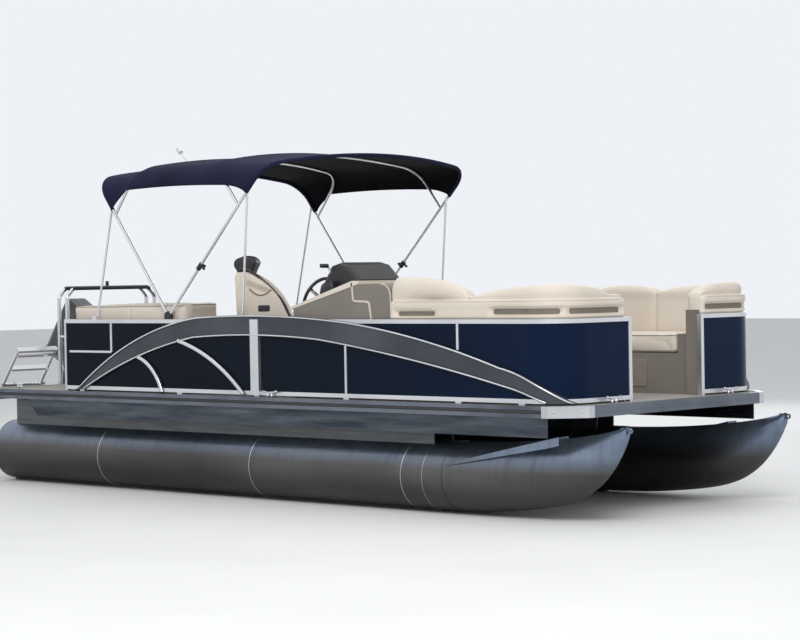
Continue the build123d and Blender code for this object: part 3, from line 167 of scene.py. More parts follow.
world = bpy.data.worlds.new("studio")
bpy.context.scene.world = world
world.use_nodes = True
sky = Wire(world.node_tree)
seen = sky.add("ShaderNodeLightPath", output="Is Camera Ray")
for ray in ("Is Glossy Ray", "Is Transmission Ray"):
    seen = sky.math("MAXIMUM", seen, sky.add("ShaderNodeLightPath", output=ray))
background = world.node_tree.nodes["Background"]
feed(background.inputs["Color"], (0.93, 0.96, 1.0))
feed(background.inputs["Strength"], 0.62 + 0.30 * seen)

# Lamps as (name, place, aim, size, watts)
lamps = (
    ("key", (9.0, -9.0, 10.0), (0.0, 0.0, 1.0), 7.0, 900.0),
    ("overhead", (-1.0, 1.0, 11.0), (0.0, 0.0, 0.8), 9.0, 300.0),
    ("port_fill", (-4.0, 11.0, 6.0), (0.0, 0.0, 1.0), 7.0, 200.0),
)
for name, place, aim, size, watts in lamps:
    lamp = bpy.data.lights.new(name, "AREA")
    lamp.size = size
    lamp.energy = watts
    lit = bpy.data.objects.new(name, lamp)
    lit.location = place
    lit.rotation_euler = (Vector(aim) - Vector(place)).to_track_quat("-Z", "Y").to_euler()
    bpy.context.scene.collection.objects.link(lit)
bpy.context.scene.view_settings.view_transform = "Standard"


# Tubes: two logs of rolled aluminium sheet, seam welded and left unpainted. Their colour
# paints reflections, sky along the top and sand on the flanks, and darkens below, partly a
# water stain and partly painted shade. Each has a pressed nose with a spray strake, an eye
# and a keel strip.
def dress(material, *nodes):
    """Gives CAD nodes a material in place of their plain one."""
    for node in nodes:
        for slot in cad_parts[node].material_slots:
            slot.material = material


def solid(name, mesh, material, body="hull", smooth=True):
    """Makes a piece from a mesh or a bmesh, with its material, riding on a body."""
    if isinstance(mesh, bmesh.types.BMesh):
        bmesh.ops.recalc_face_normals(mesh, faces=mesh.faces)
        made = bpy.data.meshes.new(name)
        mesh.to_mesh(made)
        mesh.free()
        mesh = made
    piece = bpy.data.objects.new(name, mesh)
    coat(piece, material, smooth)
    bpy.context.scene.collection.objects.link(piece)
    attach(piece, body)
    return piece


def coat(piece, material, smooth=True):
    """Gives a piece one material, and smooth shading if asked."""
    piece.data.materials.clear()
    piece.data.materials.append(material)
    if smooth:
        piece.data.shade_smooth()


def at(aft):
    """X of a place given by its distance behind the deck's front edge."""
    return deck_front - aft


def turns(count):
    """Even angles round a circle."""
    return np.linspace(0, 2 * math.pi, count, endpoint=False)


def ring(middle, radius, up, across, count=72):
    """Points round a circle, the first of them up from its middle."""
    return [
        Vector(middle) + radius * (math.cos(a) * up + math.sin(a) * across)
        for a in turns(count)
    ]


def skin(name, rows, material, body="hull", closed=False, ends=False, smooth=True):
    """A mesh over a grid of points, each row closed round if asked, with its ends filled."""
    grid = bmesh.new()
    made = [[grid.verts.new(point) for point in row] for row in rows]
    for row, following in zip(made, made[1:]):
        for index in range(len(row) if closed else len(row) - 1):
            after = (index + 1) % len(row)
            grid.faces.new((row[index], row[after], following[after], following[index]))
    if ends:
        grid.faces.new(made[0][::-1])
        grid.faces.new(made[-1])
    return solid(name, grid, material, body, smooth)


def rope(name, points, radius, material, body="hull", closed=False, count=10, flat=1.0):
    """A round rod along given points, or an oval one where flat isn't 1."""
    points = np.asarray(points, dtype=float)
    rows = []
    for index, point in enumerate(points):
        before = points[index - 1] if index or closed else point
        last = index + 1 == len(points) and not closed
        after = point if last else points[(index + 1) % len(points)]
        way = Vector(after - before).normalized()
        side = way.cross(side.cross(way)) if rows else way.orthogonal()
        side = side.normalized()
        rows.append(ring(point, radius, flat * side, way.cross(side), count))
    if closed:
        rows.append(rows[0])
    return skin(name, rows, material, body, closed=True, ends=not closed)


axis_x, axis_y, axis_z = Vector((1, 0, 0)), Vector((0, 1, 0)), Vector((0, 0, 1))
sides = (("starboard", -1), ("port", 1))

tube_metal, wire, give = finish(
    "tube_aluminium", (0.3, 0.31, 0.32), Metallic=0.9, Roughness=0.38
)
height = wire.along("Z")
brushing = wire.noise(4.0, 6.0, (0.4, 5.0, 22.0))
patches = wire.noise(1.1, 5.0, (0.4, 1.0, 1.6)).step(0.38, 0.66)
streaks = wire.noise(6.0, 4.0, (3.0, 1.0, 0.25)).step(0.5, 0.75)
# Darker and duller below: partly a water stain, partly painted shade and a painted dark reflection
stained_and_shaded_low = 1.0 - (height + 0.05 * wire.noise(2.0, 4.0)).step(0.18, 0.42)
# Painted sky reflection on the top, painted sand reflection on the flanks, stain and painted shade
# below
upper = patches.mix((0.14, 0.185, 0.26), (0.24, 0.295, 0.38))
sand_reflection_flank = patches.mix((0.082, 0.079, 0.079), (0.142, 0.138, 0.137))
lower = patches.mix((0.035, 0.033, 0.031), (0.080, 0.076, 0.072))
# The band across the top where the painted sky reflection lies
sky_lit_crest = (height + 0.03 * wire.noise(1.3, 3.0)).step(0.36, 0.50)
painted_reflections_and_stain = stained_and_shaded_low.mix(sky_lit_crest.mix(sand_reflection_flank, upper), lower)
give(
    Base_Color=(streaks * 0.35).mix(painted_reflections_and_stain, (0.07, 0.065, 0.06)),
    Roughness=0.24 + 0.18 * brushing + 0.16 * stained_and_shaded_low,
    Metallic=0.92 - 0.25 * stained_and_shaded_low,
    Normal=(brushing + patches * 0.6).bump(0.22, 0.004),
)
dress(tube_metal, "tube_starboard", "tube_port")

# Dull mill aluminium in dark tones, partly painted shade for the brackets standing in the shadow
# under the deck
mill_with_painted_shade, wire, give = finish("mill_aluminium", (0.16, 0.17, 0.18), Metallic=0.8, Roughness=0.45)
grain = wire.noise(12.0, 4.0, (0.3, 3.0, 3.0))
give(
    Base_Color=grain.step(0.3, 0.7).mix((0.10, 0.105, 0.11), (0.17, 0.175, 0.18)),
    Roughness=0.38 + 0.2 * grain,
)
dress(mill_with_painted_shade, "tube_brackets", "motor_pod", "cross_members", "powerhead")

weld_metal, wire, give = finish("weld_bead", (0.42, 0.43, 0.45), Metallic=0.9, Roughness=0.35)
give(
    Base_Color=wire.noise(40.0, 2.0).mix((0.34, 0.35, 0.36), (0.50, 0.51, 0.53)),
    Normal=wire.noise(90.0, 2.0).bump(0.5, 0.002),
)
tube_radius = 0.265
tube_middle = 0.280
# Weld beads round each tube where its sheets meet
weld_places = (1.513, 1.737, 3.45, 5.40)
drain_height = 0.085
# The drain plug's turned outline as (radius, distance out of the tube's end)
drain_outline = ((0.022, -0.001), (0.022, 0.008), (0.019, 0.011), (0.010, 0.011), (0.008, 0.006))
for name, side in sides:
    tube_low, tube_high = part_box(f"tube_{name}")
    tube_y = (tube_low.y + tube_high.y) / 2
    for number, aft in enumerate(weld_places):
        line = ring((at(aft), tube_y, tube_middle), tube_radius, axis_z, axis_y)
        rope(f"tube_weld_{name}_{number + 1}", line, 0.0042, weld_metal,
             closed=True, count=6)

    # A flat disc closes the aft end, welded round and pierced by a drain plug
    end_x = tube_low.x
    line = ring((end_x + 0.002, tube_y, tube_middle), tube_radius - 0.002, axis_z, axis_y)
    rope(f"tube_end_weld_{name}", line, 0.0055, weld_metal,
         closed=True, count=6)
    rows = [
        ring((end_x - proud, tube_y, drain_height), wide, axis_z, axis_y, 6)
        for wide, proud in drain_outline
    ]
    skin(f"drain_plug_{name}", rows, weld_metal,
         closed=True, ends=True, smooth=False)

# Skirts: thin polished aluminium sheets hung below the deck's edge, a little wavy
# between their rivets, so that what they mirror ripples. Light and dark bands along them
# are painted rippled reflections.
skirt_metal, wire, give = finish(
    "skirt_sheet", (0.17, 0.19, 0.22), Metallic=0.9, Roughness=0.24
)
wave = wire.noise(1.6, 3.0, (1.0, 1.0, 4.0))
# Banded light and dark tones: painted rippled reflections
cloud = wire.noise(2.2, 5.0, (0.6, 1.0, 6.0)).step(0.35, 0.7)
give(
    Base_Color=cloud.mix((0.045, 0.055, 0.070), (0.125, 0.140, 0.165)),
    Roughness=0.16 + 0.2 * wire.noise(14.0, 4.0, (0.2, 1.0, 3.0)),
    Normal=wave.bump(0.7, 0.03),
)
dress(skirt_metal, "side_skirts")

# Deck: marine board under woven vinyl, with an aluminium extrusion round its edge, a dark
# rubber insert in its groove, and a bolted casting where it is bevelled at the bow.
woven, wire, give = finish("woven_vinyl", (0.40, 0.37, 0.32), Roughness=0.8)
weft = wire.math("SINE", wire.along("X") * 900.0)
warp = wire.math("SINE", wire.along("Y") * 900.0)
tone = wire.noise(3.0, 5.0).step(0.3, 0.7)
stripe = wire.math("SINE", wire.along("Y") * 210.0).step(-0.4, 0.4)
cloth = tone.mix((0.26, 0.245, 0.22), (0.33, 0.31, 0.28))
give(
    Base_Color=(stripe * 0.25).mix(cloth, (0.40, 0.38, 0.35)),
    Normal=(weft * warp).bump(0.3, 0.0008),
)
dress(woven, "deck")


def drawn_metal(name, dark, light, roughness, metallic=0.9):
    """Drawn aluminium: fine lines along its length, duller where hands and ropes rub it."""
    material, wire, give = finish(name, dark, Roughness=roughness)
    drawn = wire.noise(25.0, 3.0, (0.15, 3.0, 3.0))
    wear = wire.noise(2.0, 5.0).step(0.45, 0.7)
    give(
        Base_Color=wear.mix(light, dark),
        Roughness=roughness - 0.06 + 0.14 * drawn + 0.08 * wear,
        Metallic=metallic,
        Normal=drawn.bump(0.1, 0.001),
    )
    return material


def mottled(name, color, dark, light, scale, detail, **sockets):
    """A plain material in two close tones."""
    material, wire, give = finish(name, color, **sockets)
    give(Base_Color=wire.noise(scale, detail).mix(dark, light))
    return material


edge_metal = drawn_metal("rub_rail_aluminium", (0.11, 0.125, 0.15), (0.19, 0.21, 0.245), 0.3)
dress(edge_metal, "rub_rail")
cast_metal = drawn_metal("cast_aluminium", (0.52, 0.53, 0.55), (0.68, 0.69, 0.71), 0.28)
dress(cast_metal, "corner_castings")
rubber = mottled("black_rubber", (0.03, 0.032, 0.035), (0.02, 0.021, 0.023),
                 (0.05, 0.052, 0.055), 6.0, 4.0, Roughness=0.7)

rail_low, rail_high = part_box("rub_rail")
deck_top = rail_high.z
deck_half = rail_high.y
stern = rail_low.x
corner_cut = 0.215
groove_middle = deck_top - 0.043
groove_depth = 0.0068
insert_front = deck_front - corner_cut - 0.062
insert_profile = ((0.0, -0.0125), (0.0045, -0.010), (0.0062, 0.0), (0.0045, 0.010), (0.0, 0.0125))
rows = []
for x, side in ((insert_front, -1), (stern, -1), (stern, 1), (insert_front, 1)):
    behind = x == stern
    start_x = x + groove_depth if behind else x
    start_y = side * (deck_half - groove_depth)
    rows.append([
        (start_x - behind * out, start_y + side * out, groove_middle + lift)
        for out, lift in insert_profile
    ])
skin("rub_rail_insert", rows, rubber, smooth=False)


def studs(name, places, radius, height, way, material):
    """Domed fastener heads at some places, all facing one way."""
    count = 10
    heads = bmesh.new()
    way = Vector(way).normalized()
    side = way.orthogonal().normalized()
    for place in places:
        rings = [
            [heads.verts.new(point) for point in ring(
                Vector(place) + way * height * rise, radius * share, side, way.cross(side), count
            )]
            for share, rise in ((1.0, 0.0), (0.92, 0.55), (0.55, 0.92))
        ]
        for circle, following in zip(rings, rings[1:]):
            for index in range(count):
                after = (index + 1) % count
                heads.faces.new((circle[index], circle[after], following[after], following[index]))
        heads.faces.new(rings[-1])
    return solid(name, heads, material)


bolt_reach = 0.11
for name, side in sides:
    facing = Vector((1, side, 0)).normalized()
    along = Vector((-facing.y, facing.x, 0))
    cut_middle = corner_cut / 2
    middle = Vector((at(cut_middle), side * (deck_half - cut_middle), groove_middle))
    places = [middle + along * bolt_reach, middle - along * bolt_reach]
    studs(f"casting_bolts_{name}", places, 0.009, 0.004, facing, cast_metal)

# Cleats: cast aluminium horns bolted to the deck outside the fence, for mooring lines.
# The two at the bow lie across the boat.
cleat_places = (
    (3.165, -1.268), (3.165, 1.268), (0.062, -0.72), (0.062, 0.72), (6.60, -1.17), (6.60, 1.17),
)
horn_shape = (
    (0.085, 0.050), (0.055, 0.043), (0.02, 0.036), (-0.02, 0.036), (-0.055, 0.043), (-0.085, 0.050),
)
for number, (aft, y) in enumerate(cleat_places):
    name = f"cleat_{number + 1}"
    axis = axis_y if aft < 1 else axis_x
    foot = Vector((at(aft), y, deck_top))
    line = [foot + axis * reach + axis_z * lift for reach, lift in horn_shape]
    rope(name, line, 0.0085, cast_metal, count=12)
    for leg, reach in enumerate((-0.024, 0.024)):
        line = [
            foot + axis * reach * share + axis_z * lift
            for share, lift in ((1, 0.0), (1, 0.012), (0.8, 0.034))
        ]
        rope(f"{name}_foot_{leg + 1}", line, 0.0095, cast_metal, count=12)

# Fence: square aluminium tube welded into frames, anodised bright, with pre-painted
# sheets of very dark blue held in them. The gates are made the same way, on pins.
rail_metal = drawn_metal("rail_aluminium", (0.66, 0.67, 0.69), (0.80, 0.81, 0.83), 0.28)
dress(rail_metal, "fence_frame_starboard", "fence_frame_port", "fence_frame_stern",
      "bow_gate_frame", "stern_gate_frame", "bimini_bow_aft", "bimini_bow_fore",
      "bimini_braces")

navy, wire, give = finish(
    "navy_paint", (0.0025, 0.006, 0.014), Roughness=0.25, Specular_IOR_Level=0.09
)
# Painted light: the panels turn a brighter blue toward the bow corner, darker aft
bow_lit_gradient = wire.along("X").step(at(2.6), at(0.2))
haze = wire.noise(0.9, 2.0, (1.0, 1.0, 0.5)).step(0.3, 0.7)
dark = haze.mix((0.0020, 0.0050, 0.0110), (0.0030, 0.0075, 0.0170))
blue = haze.mix((0.0022, 0.0085, 0.0280), (0.0030, 0.0120, 0.0420))
give(
    Base_Color=bow_lit_gradient.mix(dark, blue),
    Roughness=0.2 + 0.06 * wire.noise(5.0, 3.0),
    Normal=wire.noise(1.1, 1.0, (1.0, 1.0, 0.4)).bump(0.25, 0.02),
)
dress(navy, "fence_panels_starboard", "fence_panels_port", "fence_panels_stern",
      "bow_gate_panel", "stern_gate_panel")

stainless, wire, give = finish(
    "polished_stainless", (0.74, 0.74, 0.76), Metallic=1.0, Roughness=0.14
)
give(Roughness=0.08 + 0.14 * wire.noise(40.0, 3.0))
dress(stainless, "gate_hinges", "ladder_mount", "ladder_upper", "ladder_lower", "propeller")

# Tow bar: two bent stainless hoops over the motor, joined by rungs and bolted to the deck.
# Their top run is painted dark and dull, a painted reflection of the dark water below.
tow_metal, wire, give = finish(
    "tow_bar_metal", (0.74, 0.74, 0.76), Metallic=1.0, Roughness=0.12
)
across = wire.math("ABSOLUTE", wire.along("Y"))
# Painted reflection: the top run between the hoops' ends is dark and not metallic
painted_dark_top = wire.along("Z").step(1.722, 1.724) * (1.0 - across.step(0.470, 0.473))
give(
    Base_Color=painted_dark_top.mix((0.72, 0.73, 0.76), (0.012, 0.014, 0.022)),
    Metallic=1.0 - painted_dark_top,
    Roughness=0.08 + 0.10 * wire.noise(40.0, 3.0) + 0.25 * painted_dark_top,
)
dress(tow_metal, "tow_bar")

# Arches: a silver-grey formed band riveted over the panels, with a polished bead along
# each edge and two curved polished struts from it to the rub rail.
arch_paint, wire, give = finish(
    "arch_silver", (0.10, 0.105, 0.115), Metallic=0.55, Roughness=0.36
)
mottle = wire.noise(1.0, 3.0).step(0.35, 0.65)
give(
    Base_Color=mottle.mix((0.048, 0.053, 0.063), (0.085, 0.091, 0.104)),
    Roughness=0.28 + 0.14 * wire.noise(60.0, 2.0),
)
dress(arch_paint, "arch_starboard", "arch_port")
polished = drawn_metal("polished_trim", (0.60, 0.61, 0.64), (0.78, 0.79, 0.81), 0.22, 0.95)

fence_half = 1.246
fence_front = 0.118
fence_bow_radius = 0.320
fence_low = deck_top + 0.014
# Beads as half width, shift across the arch's edge and distance out of the fence, then
# the (distance aft, height) of each of their arcs' start, middle and end
arch_beads = {
    "outer": (0.0065, -0.0075, 0.0155, (
        ((5.660, fence_low), (5.044, 1.224), (4.071, 1.496)),
        ((4.071, 1.496), (3.180, 1.512), (2.290, 1.458)),
        ((2.290, 1.458), (1.509, 1.333), (0.706, 1.128)),
        ((0.706, 1.128), (0.400, 1.030), (0.138, fence_low)),
    )),
    "inner": (0.0065, 0.0075, 0.0155, (
        ((5.562, fence_low), (4.872, 1.139), (4.100, 1.322)),
        ((4.100, 1.322), (3.399, 1.345), (2.600, 1.312)),
        ((2.600, 1.312), (1.513, 1.150), (0.640, 0.975)),
        ((0.640, 0.975), (0.450, 0.925), (0.290, fence_low)),
    )),
    "strut_aft": (0.0165, 0.0, 0.0118, (((4.825, 1.158), (4.620, 1.032), (4.520, fence_low)),)),
    "strut_fore": (0.0165, 0.0, 0.0118, (((4.300, 1.300), (3.880, 1.142), (3.495, fence_low)),)),
}
# A bead's rounded section as (share of its half width, lift)
bead_section = (
    (-1, -0.004), (-1, 0.002), (-0.55, 0.0055), (0, 0.0068), (0.55, 0.0055), (1, 0.002),
    (1, -0.004),
)


def arc_points(start, middle, end, count):
    """Even points on the arc through three points."""
    (ax, ay), (bx, by), (cx, cy) = start, middle, end
    d = 2 * (ax * (by - cy) + bx * (cy - ay) + cx * (ay - by))
    a, b, c = ax**2 + ay**2, bx**2 + by**2, cx**2 + cy**2
    ux = (a * (by - cy) + b * (cy - ay) + c * (ay - by)) / d
    uy = (a * (cx - bx) + b * (ax - cx) + c * (bx - ax)) / d
    radius = math.hypot(ax - ux, ay - uy)
    first, mid, last = (math.atan2(y - uy, x - ux) for x, y in (start, middle, end))
    mid = (mid - first + math.pi) % (2 * math.pi) - math.pi
    last = (last - first + math.pi) % (2 * math.pi) - math.pi
    if mid * last < 0:
        last += math.copysign(2 * math.pi, mid)
    angles = first + last * np.linspace(0, 1, count)
    return [(ux + radius * math.cos(a), uy + radius * math.sin(a)) for a in angles]


def on_fence(aft, height, side, proud):
    """A point on the fence's side at a height, or round its bow corner."""
    bend = fence_front + fence_bow_radius
    if aft >= bend:
        return Vector((at(aft), side * (fence_half + proud), height))
    out = math.asin(min(1.0, (bend - aft) / (fence_bow_radius + proud)))
    way = Vector((math.sin(out), side * math.cos(out), 0))
    centre = Vector((at(bend), side * (fence_half - fence_bow_radius), height))
    return centre + way * (fence_bow_radius + proud)


def square_to(line, index):
    """Direction in a plane square to a line's course at one of its points."""
    before, after = line[max(0, index - 1)], line[min(len(line) - 1, index + 1)]
    way = (Vector(after) - Vector(before)).normalized()
    return Vector((-way.y, way.x))


for name, side in sides:
    for label, (half_width, shift, proud, curves) in arch_beads.items():
        line = []
        for curve in curves:
            line += arc_points(*curve, 26)[1 if line else 0:]
        rows = []
        for index, (aft, height) in enumerate(line):
            square = square_to(line, index)
            square = square if square.y > 0 else -square
            row = []
            for share, lift in bead_section:
                offset = square * (share * half_width + shift)
                level = max(height + offset.y, fence_low + 0.001)
                row.append(on_fence(aft + offset.x, level, side, proud + lift))
            rows.append(row)
        skin(f"arch_bead_{label}_{name}", rows, polished)

# Canopy frame and light: aluminium tube bows on nylon mounts, folding about one pivot on
# each rail. A slide with a screw knob is clamped on each of the fore bow's legs.
nylon, wire, give = finish("black_nylon", (0.015, 0.015, 0.016), Roughness=0.45)
give(Roughness=0.38 + 0.2 * wire.noise(80.0, 2.0))
dress(nylon, "bimini_mounts")
lamp_white, wire, give = finish("lamp_white", (0.75, 0.76, 0.76), Roughness=0.3)
give(Roughness=0.25 + 0.1 * wire.noise(50.0, 2.0))
dress(lamp_white, "light_staff")

bow_half = 1.220
for name, side in sides:
    middle = Vector((at(4.039), side * bow_half, 1.919))
    way = Vector((0.702, 0, 0.712)).normalized()
    inward = Vector((0, -side, 0))
    tilt = Vector((0.020, 0, -0.014))
    clamp = [middle + way * along for along in (-0.032, -0.028, 0.028, 0.032)]
    stem = [middle + inward * out + way * 0.004 for out in (0.012, 0.030, 0.034, 0.050, 0.054)]
    lug = [middle + way * 0.012 + tilt * share for share in (0.0, 1.0, 2.0, 2.3)]
    rope(f"bow_slide_{name}", clamp, 0.0205, nylon)
    rope(f"bow_slide_knob_{name}", stem, 0.0125, nylon)
    rope(f"bow_slide_ear_{name}", lug, 0.0105, nylon)


# Gate latches: a black case by each gate's free edge with a short thumb lever. The bow
# gate is parked open, the stern gate shut.
def rounded(width, height, radius, count=6):
    """Corners of a rectangle with rounded corners, centred, as (across, up)."""
    points = []
    for x, y, start in ((1, 1, 0), (-1, 1, 90), (-1, -1, 180), (1, -1, 270)):
        for a in np.radians(np.linspace(start, start + 90, count)):
            points.append((x * (width / 2 - radius) + radius * math.cos(a),
                           y * (height / 2 - radius) + radius * math.sin(a)))
    return points


def plate(name, place, width, height, radius, thick, material, body="hull"):
    """A plate with rounded corners and edges. place(across, up, out) gives its points."""
    edge = 0.002
    rows = [
        [place(x * (1 - shrink / width * 2), y * (1 - shrink / height * 2), out)
         for x, y in rounded(width, height, radius)]
        for shrink, out in ((0, 0.0), (0, thick - edge), (edge, thick), (edge * 3, thick))
    ]
    return skin(name, rows, material, body, closed=True, ends=True)


latch_height = 1.385
pin_reach = 0.038 + 0.018
# Gates as (body, pin, way along the gate, width, inward way)
gates = (
    ("bow_gate", (at(fence_front + pin_reach), -0.440, 0), -axis_x, 0.882, -axis_y),
    ("stern_gate", (at(5.867 - pin_reach), 1.132, 0), -axis_y, 0.626, axis_x),
)
lever_line = (
    (0, 0.010, 0.010), (0, 0.010, 0.022), (-0.012, 0.010, 0.030), (-0.050, 0.008, 0.033),
)
for body, pin, along, width, inside in gates:
    edge = Vector(pin) + along * (width - 0.020) + inside * 0.012 + axis_z * latch_height
    where = lambda x, y, out: edge + along * x + inside * out + axis_z * y
    plate(f"{body}_latch", where, 0.030, 0.085, 0.006, 0.014, nylon, body)
    line = [where(*place) for place in lever_line]
    rope(f"{body}_latch_lever", line, 0.0055, stainless, body, flat=1.3)


# Canopy: one sewn sheet of acrylic canvas, navy above and black below, hemmed round the
# end bows, pulled tight over the forked ones and cut in hollows along both sides.
def canvas_finish(name, dark, light):
    """Woven acrylic canvas, a little faded in patches."""
    material, wire, give = finish(name, dark, Roughness=0.9, Specular_IOR_Level=0.2)
    weft = wire.math("SINE", wire.along("X") * 1400.0)
    warp = wire.math("SINE", wire.along("Y") * 1400.0)
    fade = wire.noise(1.3, 4.0).step(0.3, 0.7)
    slack = wire.noise(4.0, 3.0, (1.0, 0.5, 1.0))
    give(Base_Color=fade.mix(dark, light), Normal=(weft * warp * 0.1 + slack).bump(0.5, 0.006))
    return material


canvas = canvas_finish("navy_canvas", (0.007, 0.008, 0.026), (0.016, 0.019, 0.054))
canvas_under = canvas_finish("black_canvas", (0.0025, 0.0025, 0.004), (0.005, 0.005, 0.007))
mount_foot = (4.450, 1.502)
bow_turn = 0.230
bow_shoulder = 0.330
# Bows from aft: leg's foot (aft, height), its run and rise, crown, the cloth's edge, and
# how far the cloth runs outside the bow's middle line
canopy_bows = (
    (mount_foot, (-0.609, 0.793), 1.639, 2.425, 0.0142),
    ((5.126, 2.3822), (0.62, 0.785), 0.611, 2.590, 0.0190),
    ((3.5528, 2.4119), (-0.62, 0.785), 0.586, 2.585, 0.0190),
    (mount_foot, (0.702, 0.712), 1.868, 2.515, 0.0142),
)
hollow_cut = 0.022
cloth_sag = 0.020
across_count = 97
steps_between = 12


def bow_line(crown, out):
    """Fine points (across, up the leg) over a bow, from low on one leg to low on the other."""
    half = bow_half + out
    turn = bow_turn + out
    top = crown + out
    leg = crown - bow_shoulder
    rise = top - leg
    flat = ((half - turn) ** 2 + rise**2 - turn**2) / (2 * (rise - turn))
    centre = top - flat
    last = math.atan2(leg - centre, half - turn)
    line = [(half, leg - 1.0), (half, leg - 0.5)]
    line += [
        (half - turn + turn * math.cos(a), leg + turn * math.sin(a))
        for a in np.linspace(0, last, 24)
    ]
    line += [
        (flat * math.cos(a), centre + flat * math.sin(a))
        for a in np.linspace(last, math.pi / 2, 60)[1:]
    ]
    line = np.array(line)
    return np.vstack((line * (-1, 1), line[-2::-1]))


def bow_points(bow, out, lift=0.0):
    """Even points in space along a bow, from the cloth's edge on one side to the other."""
    (aft, height), (run, rise), crown, edge, _ = bow
    line = bow_line(crown, out)
    walked = np.concatenate(((0,), np.cumsum(np.hypot(*np.diff(line, axis=0).T))))
    start = np.interp((edge + lift - height) / rise, line[:40, 1], walked[:40])
    walk = np.linspace(start, walked[-1] - start, across_count)
    across = np.interp(walk, walked, line[:, 0])
    up = np.interp(walk, walked, line[:, 1])
    return np.column_stack((at(aft) + run * up, across, height + rise * up))


rows = []
middle = 1 - np.abs(np.linspace(-1, 1, across_count)) ** 4
for index, (first, second) in enumerate(zip(canopy_bows, canopy_bows[1:])):
    for step in range(steps_between + (index == 2)):
        share = step / steps_between
        hang = 4 * share * (1 - share)
        low = hollow_cut * hang
        row = (1 - share) * bow_points(first, first[4], low)
        row = row + share * bow_points(second, second[4], low)
        row[:, 2] -= cloth_sag * hang * (0.35 + 0.65 * middle)
        row[:, 1] *= 1 - 0.006 * hang * (1 - middle)
        rows.append(row)
canopy_cloth = skin("canopy_cloth", rows, canvas)
faces = canopy_cloth.data.polygons
canopy_cloth.data.materials.append(canvas_under)
if faces[len(faces) // 2].normal.z < 0:
    canopy_cloth.data.flip_normals()
thick = canopy_cloth.modifiers.new("thickness", "SOLIDIFY")
thick.thickness = 0.0016
thick.offset = 0.0
thick.material_offset = 1

hem_lines = (
    ("aft", bow_points(canopy_bows[0], 0.0), 0.0165),
    ("fore", bow_points(canopy_bows[3], 0.0), 0.0165),
    ("starboard", [row[0] for row in rows], 0.0035),
    ("port", [row[-1] for row in rows], 0.0035),
)
hems = [
    rope(f"canopy_hem_{name}", line, radius, canvas)
    for name, line, radius in hem_lines
]
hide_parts("canopy")

# Helm console: a roto-moulded body in taupe with a stitched vinyl dash cap, a black hood
# over the gauges, and beige edge trim. The lounge's end block stands before it.
taupe, wire, give = finish("taupe_moulding", (0.19, 0.165, 0.14), Roughness=0.6)
pebble = wire.noise(220.0, 2.0)
tone = wire.noise(1.5, 4.0).step(0.3, 0.7)
give(
    Base_Color=tone.mix((0.185, 0.16, 0.135), (0.235, 0.21, 0.18)),
    Roughness=0.52 + 0.14 * wire.noise(7.0, 3.0),
    Normal=pebble.bump(0.3, 0.0006),
)
dress(taupe, "console_body", "lounge_base_starboard", "lounge_base_port", "aft_base",
      "couch_base")
black, wire, give = finish("black_moulding", (0.014, 0.013, 0.015), Roughness=0.35)
give(
    Base_Color=wire.noise(3.0, 3.0).mix((0.010, 0.009, 0.011), (0.022, 0.020, 0.023)),
    Roughness=0.36 + 0.14 * wire.noise(45.0, 3.0),
    Normal=wire.noise(300.0, 2.0).bump(0.2, 0.0005),
)
dress(black, "instrument_hood", "steering_column", "helm_pedestal")
beige_trim = mottled("beige_trim", (0.62, 0.55, 0.46), (0.58, 0.51, 0.42),
                     (0.68, 0.61, 0.52), 12.0, 3.0, Roughness=0.45)

console_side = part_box("console_body")[0].y
helm_y = console_side + 0.390


def strip(name, line, half_width, proud):
    """A flat trim strip along points (aft, height) on the console's starboard side."""
    rows = []
    for index, (aft, height) in enumerate(line):
        square = square_to(line, index) * half_width
        rows.append([
            Vector((at(aft + square.x * share), console_side - lift, height + square.y * share))
            for share, lift in ((-1, 0.0), (-0.8, proud), (0.8, proud), (1, 0.0))
        ])
    return skin(name, rows, beige_trim)


edge_line = (
    (2.286, 1.762), (2.276, 1.640), (2.270, 1.622), (2.250, 1.618), (2.125, 1.613),
    (2.104, 1.606), (2.097, 1.588), (2.080, 1.480), (2.040, 1.20), (2.020, 0.87),
)
block_line = (
    (1.866, 0.87), (1.866, 1.60), (1.868, 1.665), (1.885, 1.712), (1.920, 1.742), (1.965, 1.752),
)
strip("console_edge_trim", edge_line, 0.009, 0.005)
strip("block_edge_trim", block_line, 0.006, 0.003)

# Storage doors: moulded plastic panels with rounded corners, hinged to the console and the
# seat bases. Each has a black paddle latch by its upper edge.
door_tone, wire, give = finish("taupe_door", (0.24, 0.21, 0.175), Roughness=0.5)
tone = wire.noise(1.5, 4.0).step(0.3, 0.7)
give(
    Base_Color=tone.mix((0.22, 0.19, 0.16), (0.27, 0.235, 0.20)),
    Normal=wire.noise(220.0, 2.0).bump(0.3, 0.0006),
)
# Doors as (name, middle, way across, outward way, width, height)
doors = (
    ("console_aft", (at(2.950), -0.845, 1.20), axis_y, -axis_x, 0.50, 0.46),
    ("console_aisle", (at(2.640), -0.500, 1.20), axis_x, axis_y, 0.44, 0.50),
    ("couch_fore", (at(3.080), 0.560, 1.01), axis_x, -axis_y, 0.90, 0.22),
    ("couch_aft", (at(4.320), 0.560, 1.01), axis_x, -axis_y, 0.90, 0.22),
    ("lounge_starboard", (at(1.150), -0.560, 1.01), axis_x, axis_y, 0.80, 0.22),
    ("lounge_port", (at(1.150), 0.560, 1.01), axis_x, -axis_y, 0.80, 0.22),
)
for name, middle, across, outward, width, height in doors:
    where = lambda x, y, out: Vector(middle) + across * x + outward * out + axis_z * y
    plate(f"door_{name}", where, width, height, 0.030, 0.007, door_tone)
    case = lambda x, y, out: where(x, y + height / 2 - 0.050, out + 0.0065)
    plate(f"door_latch_{name}", case, 0.075, 0.036, 0.008, 0.008, black)

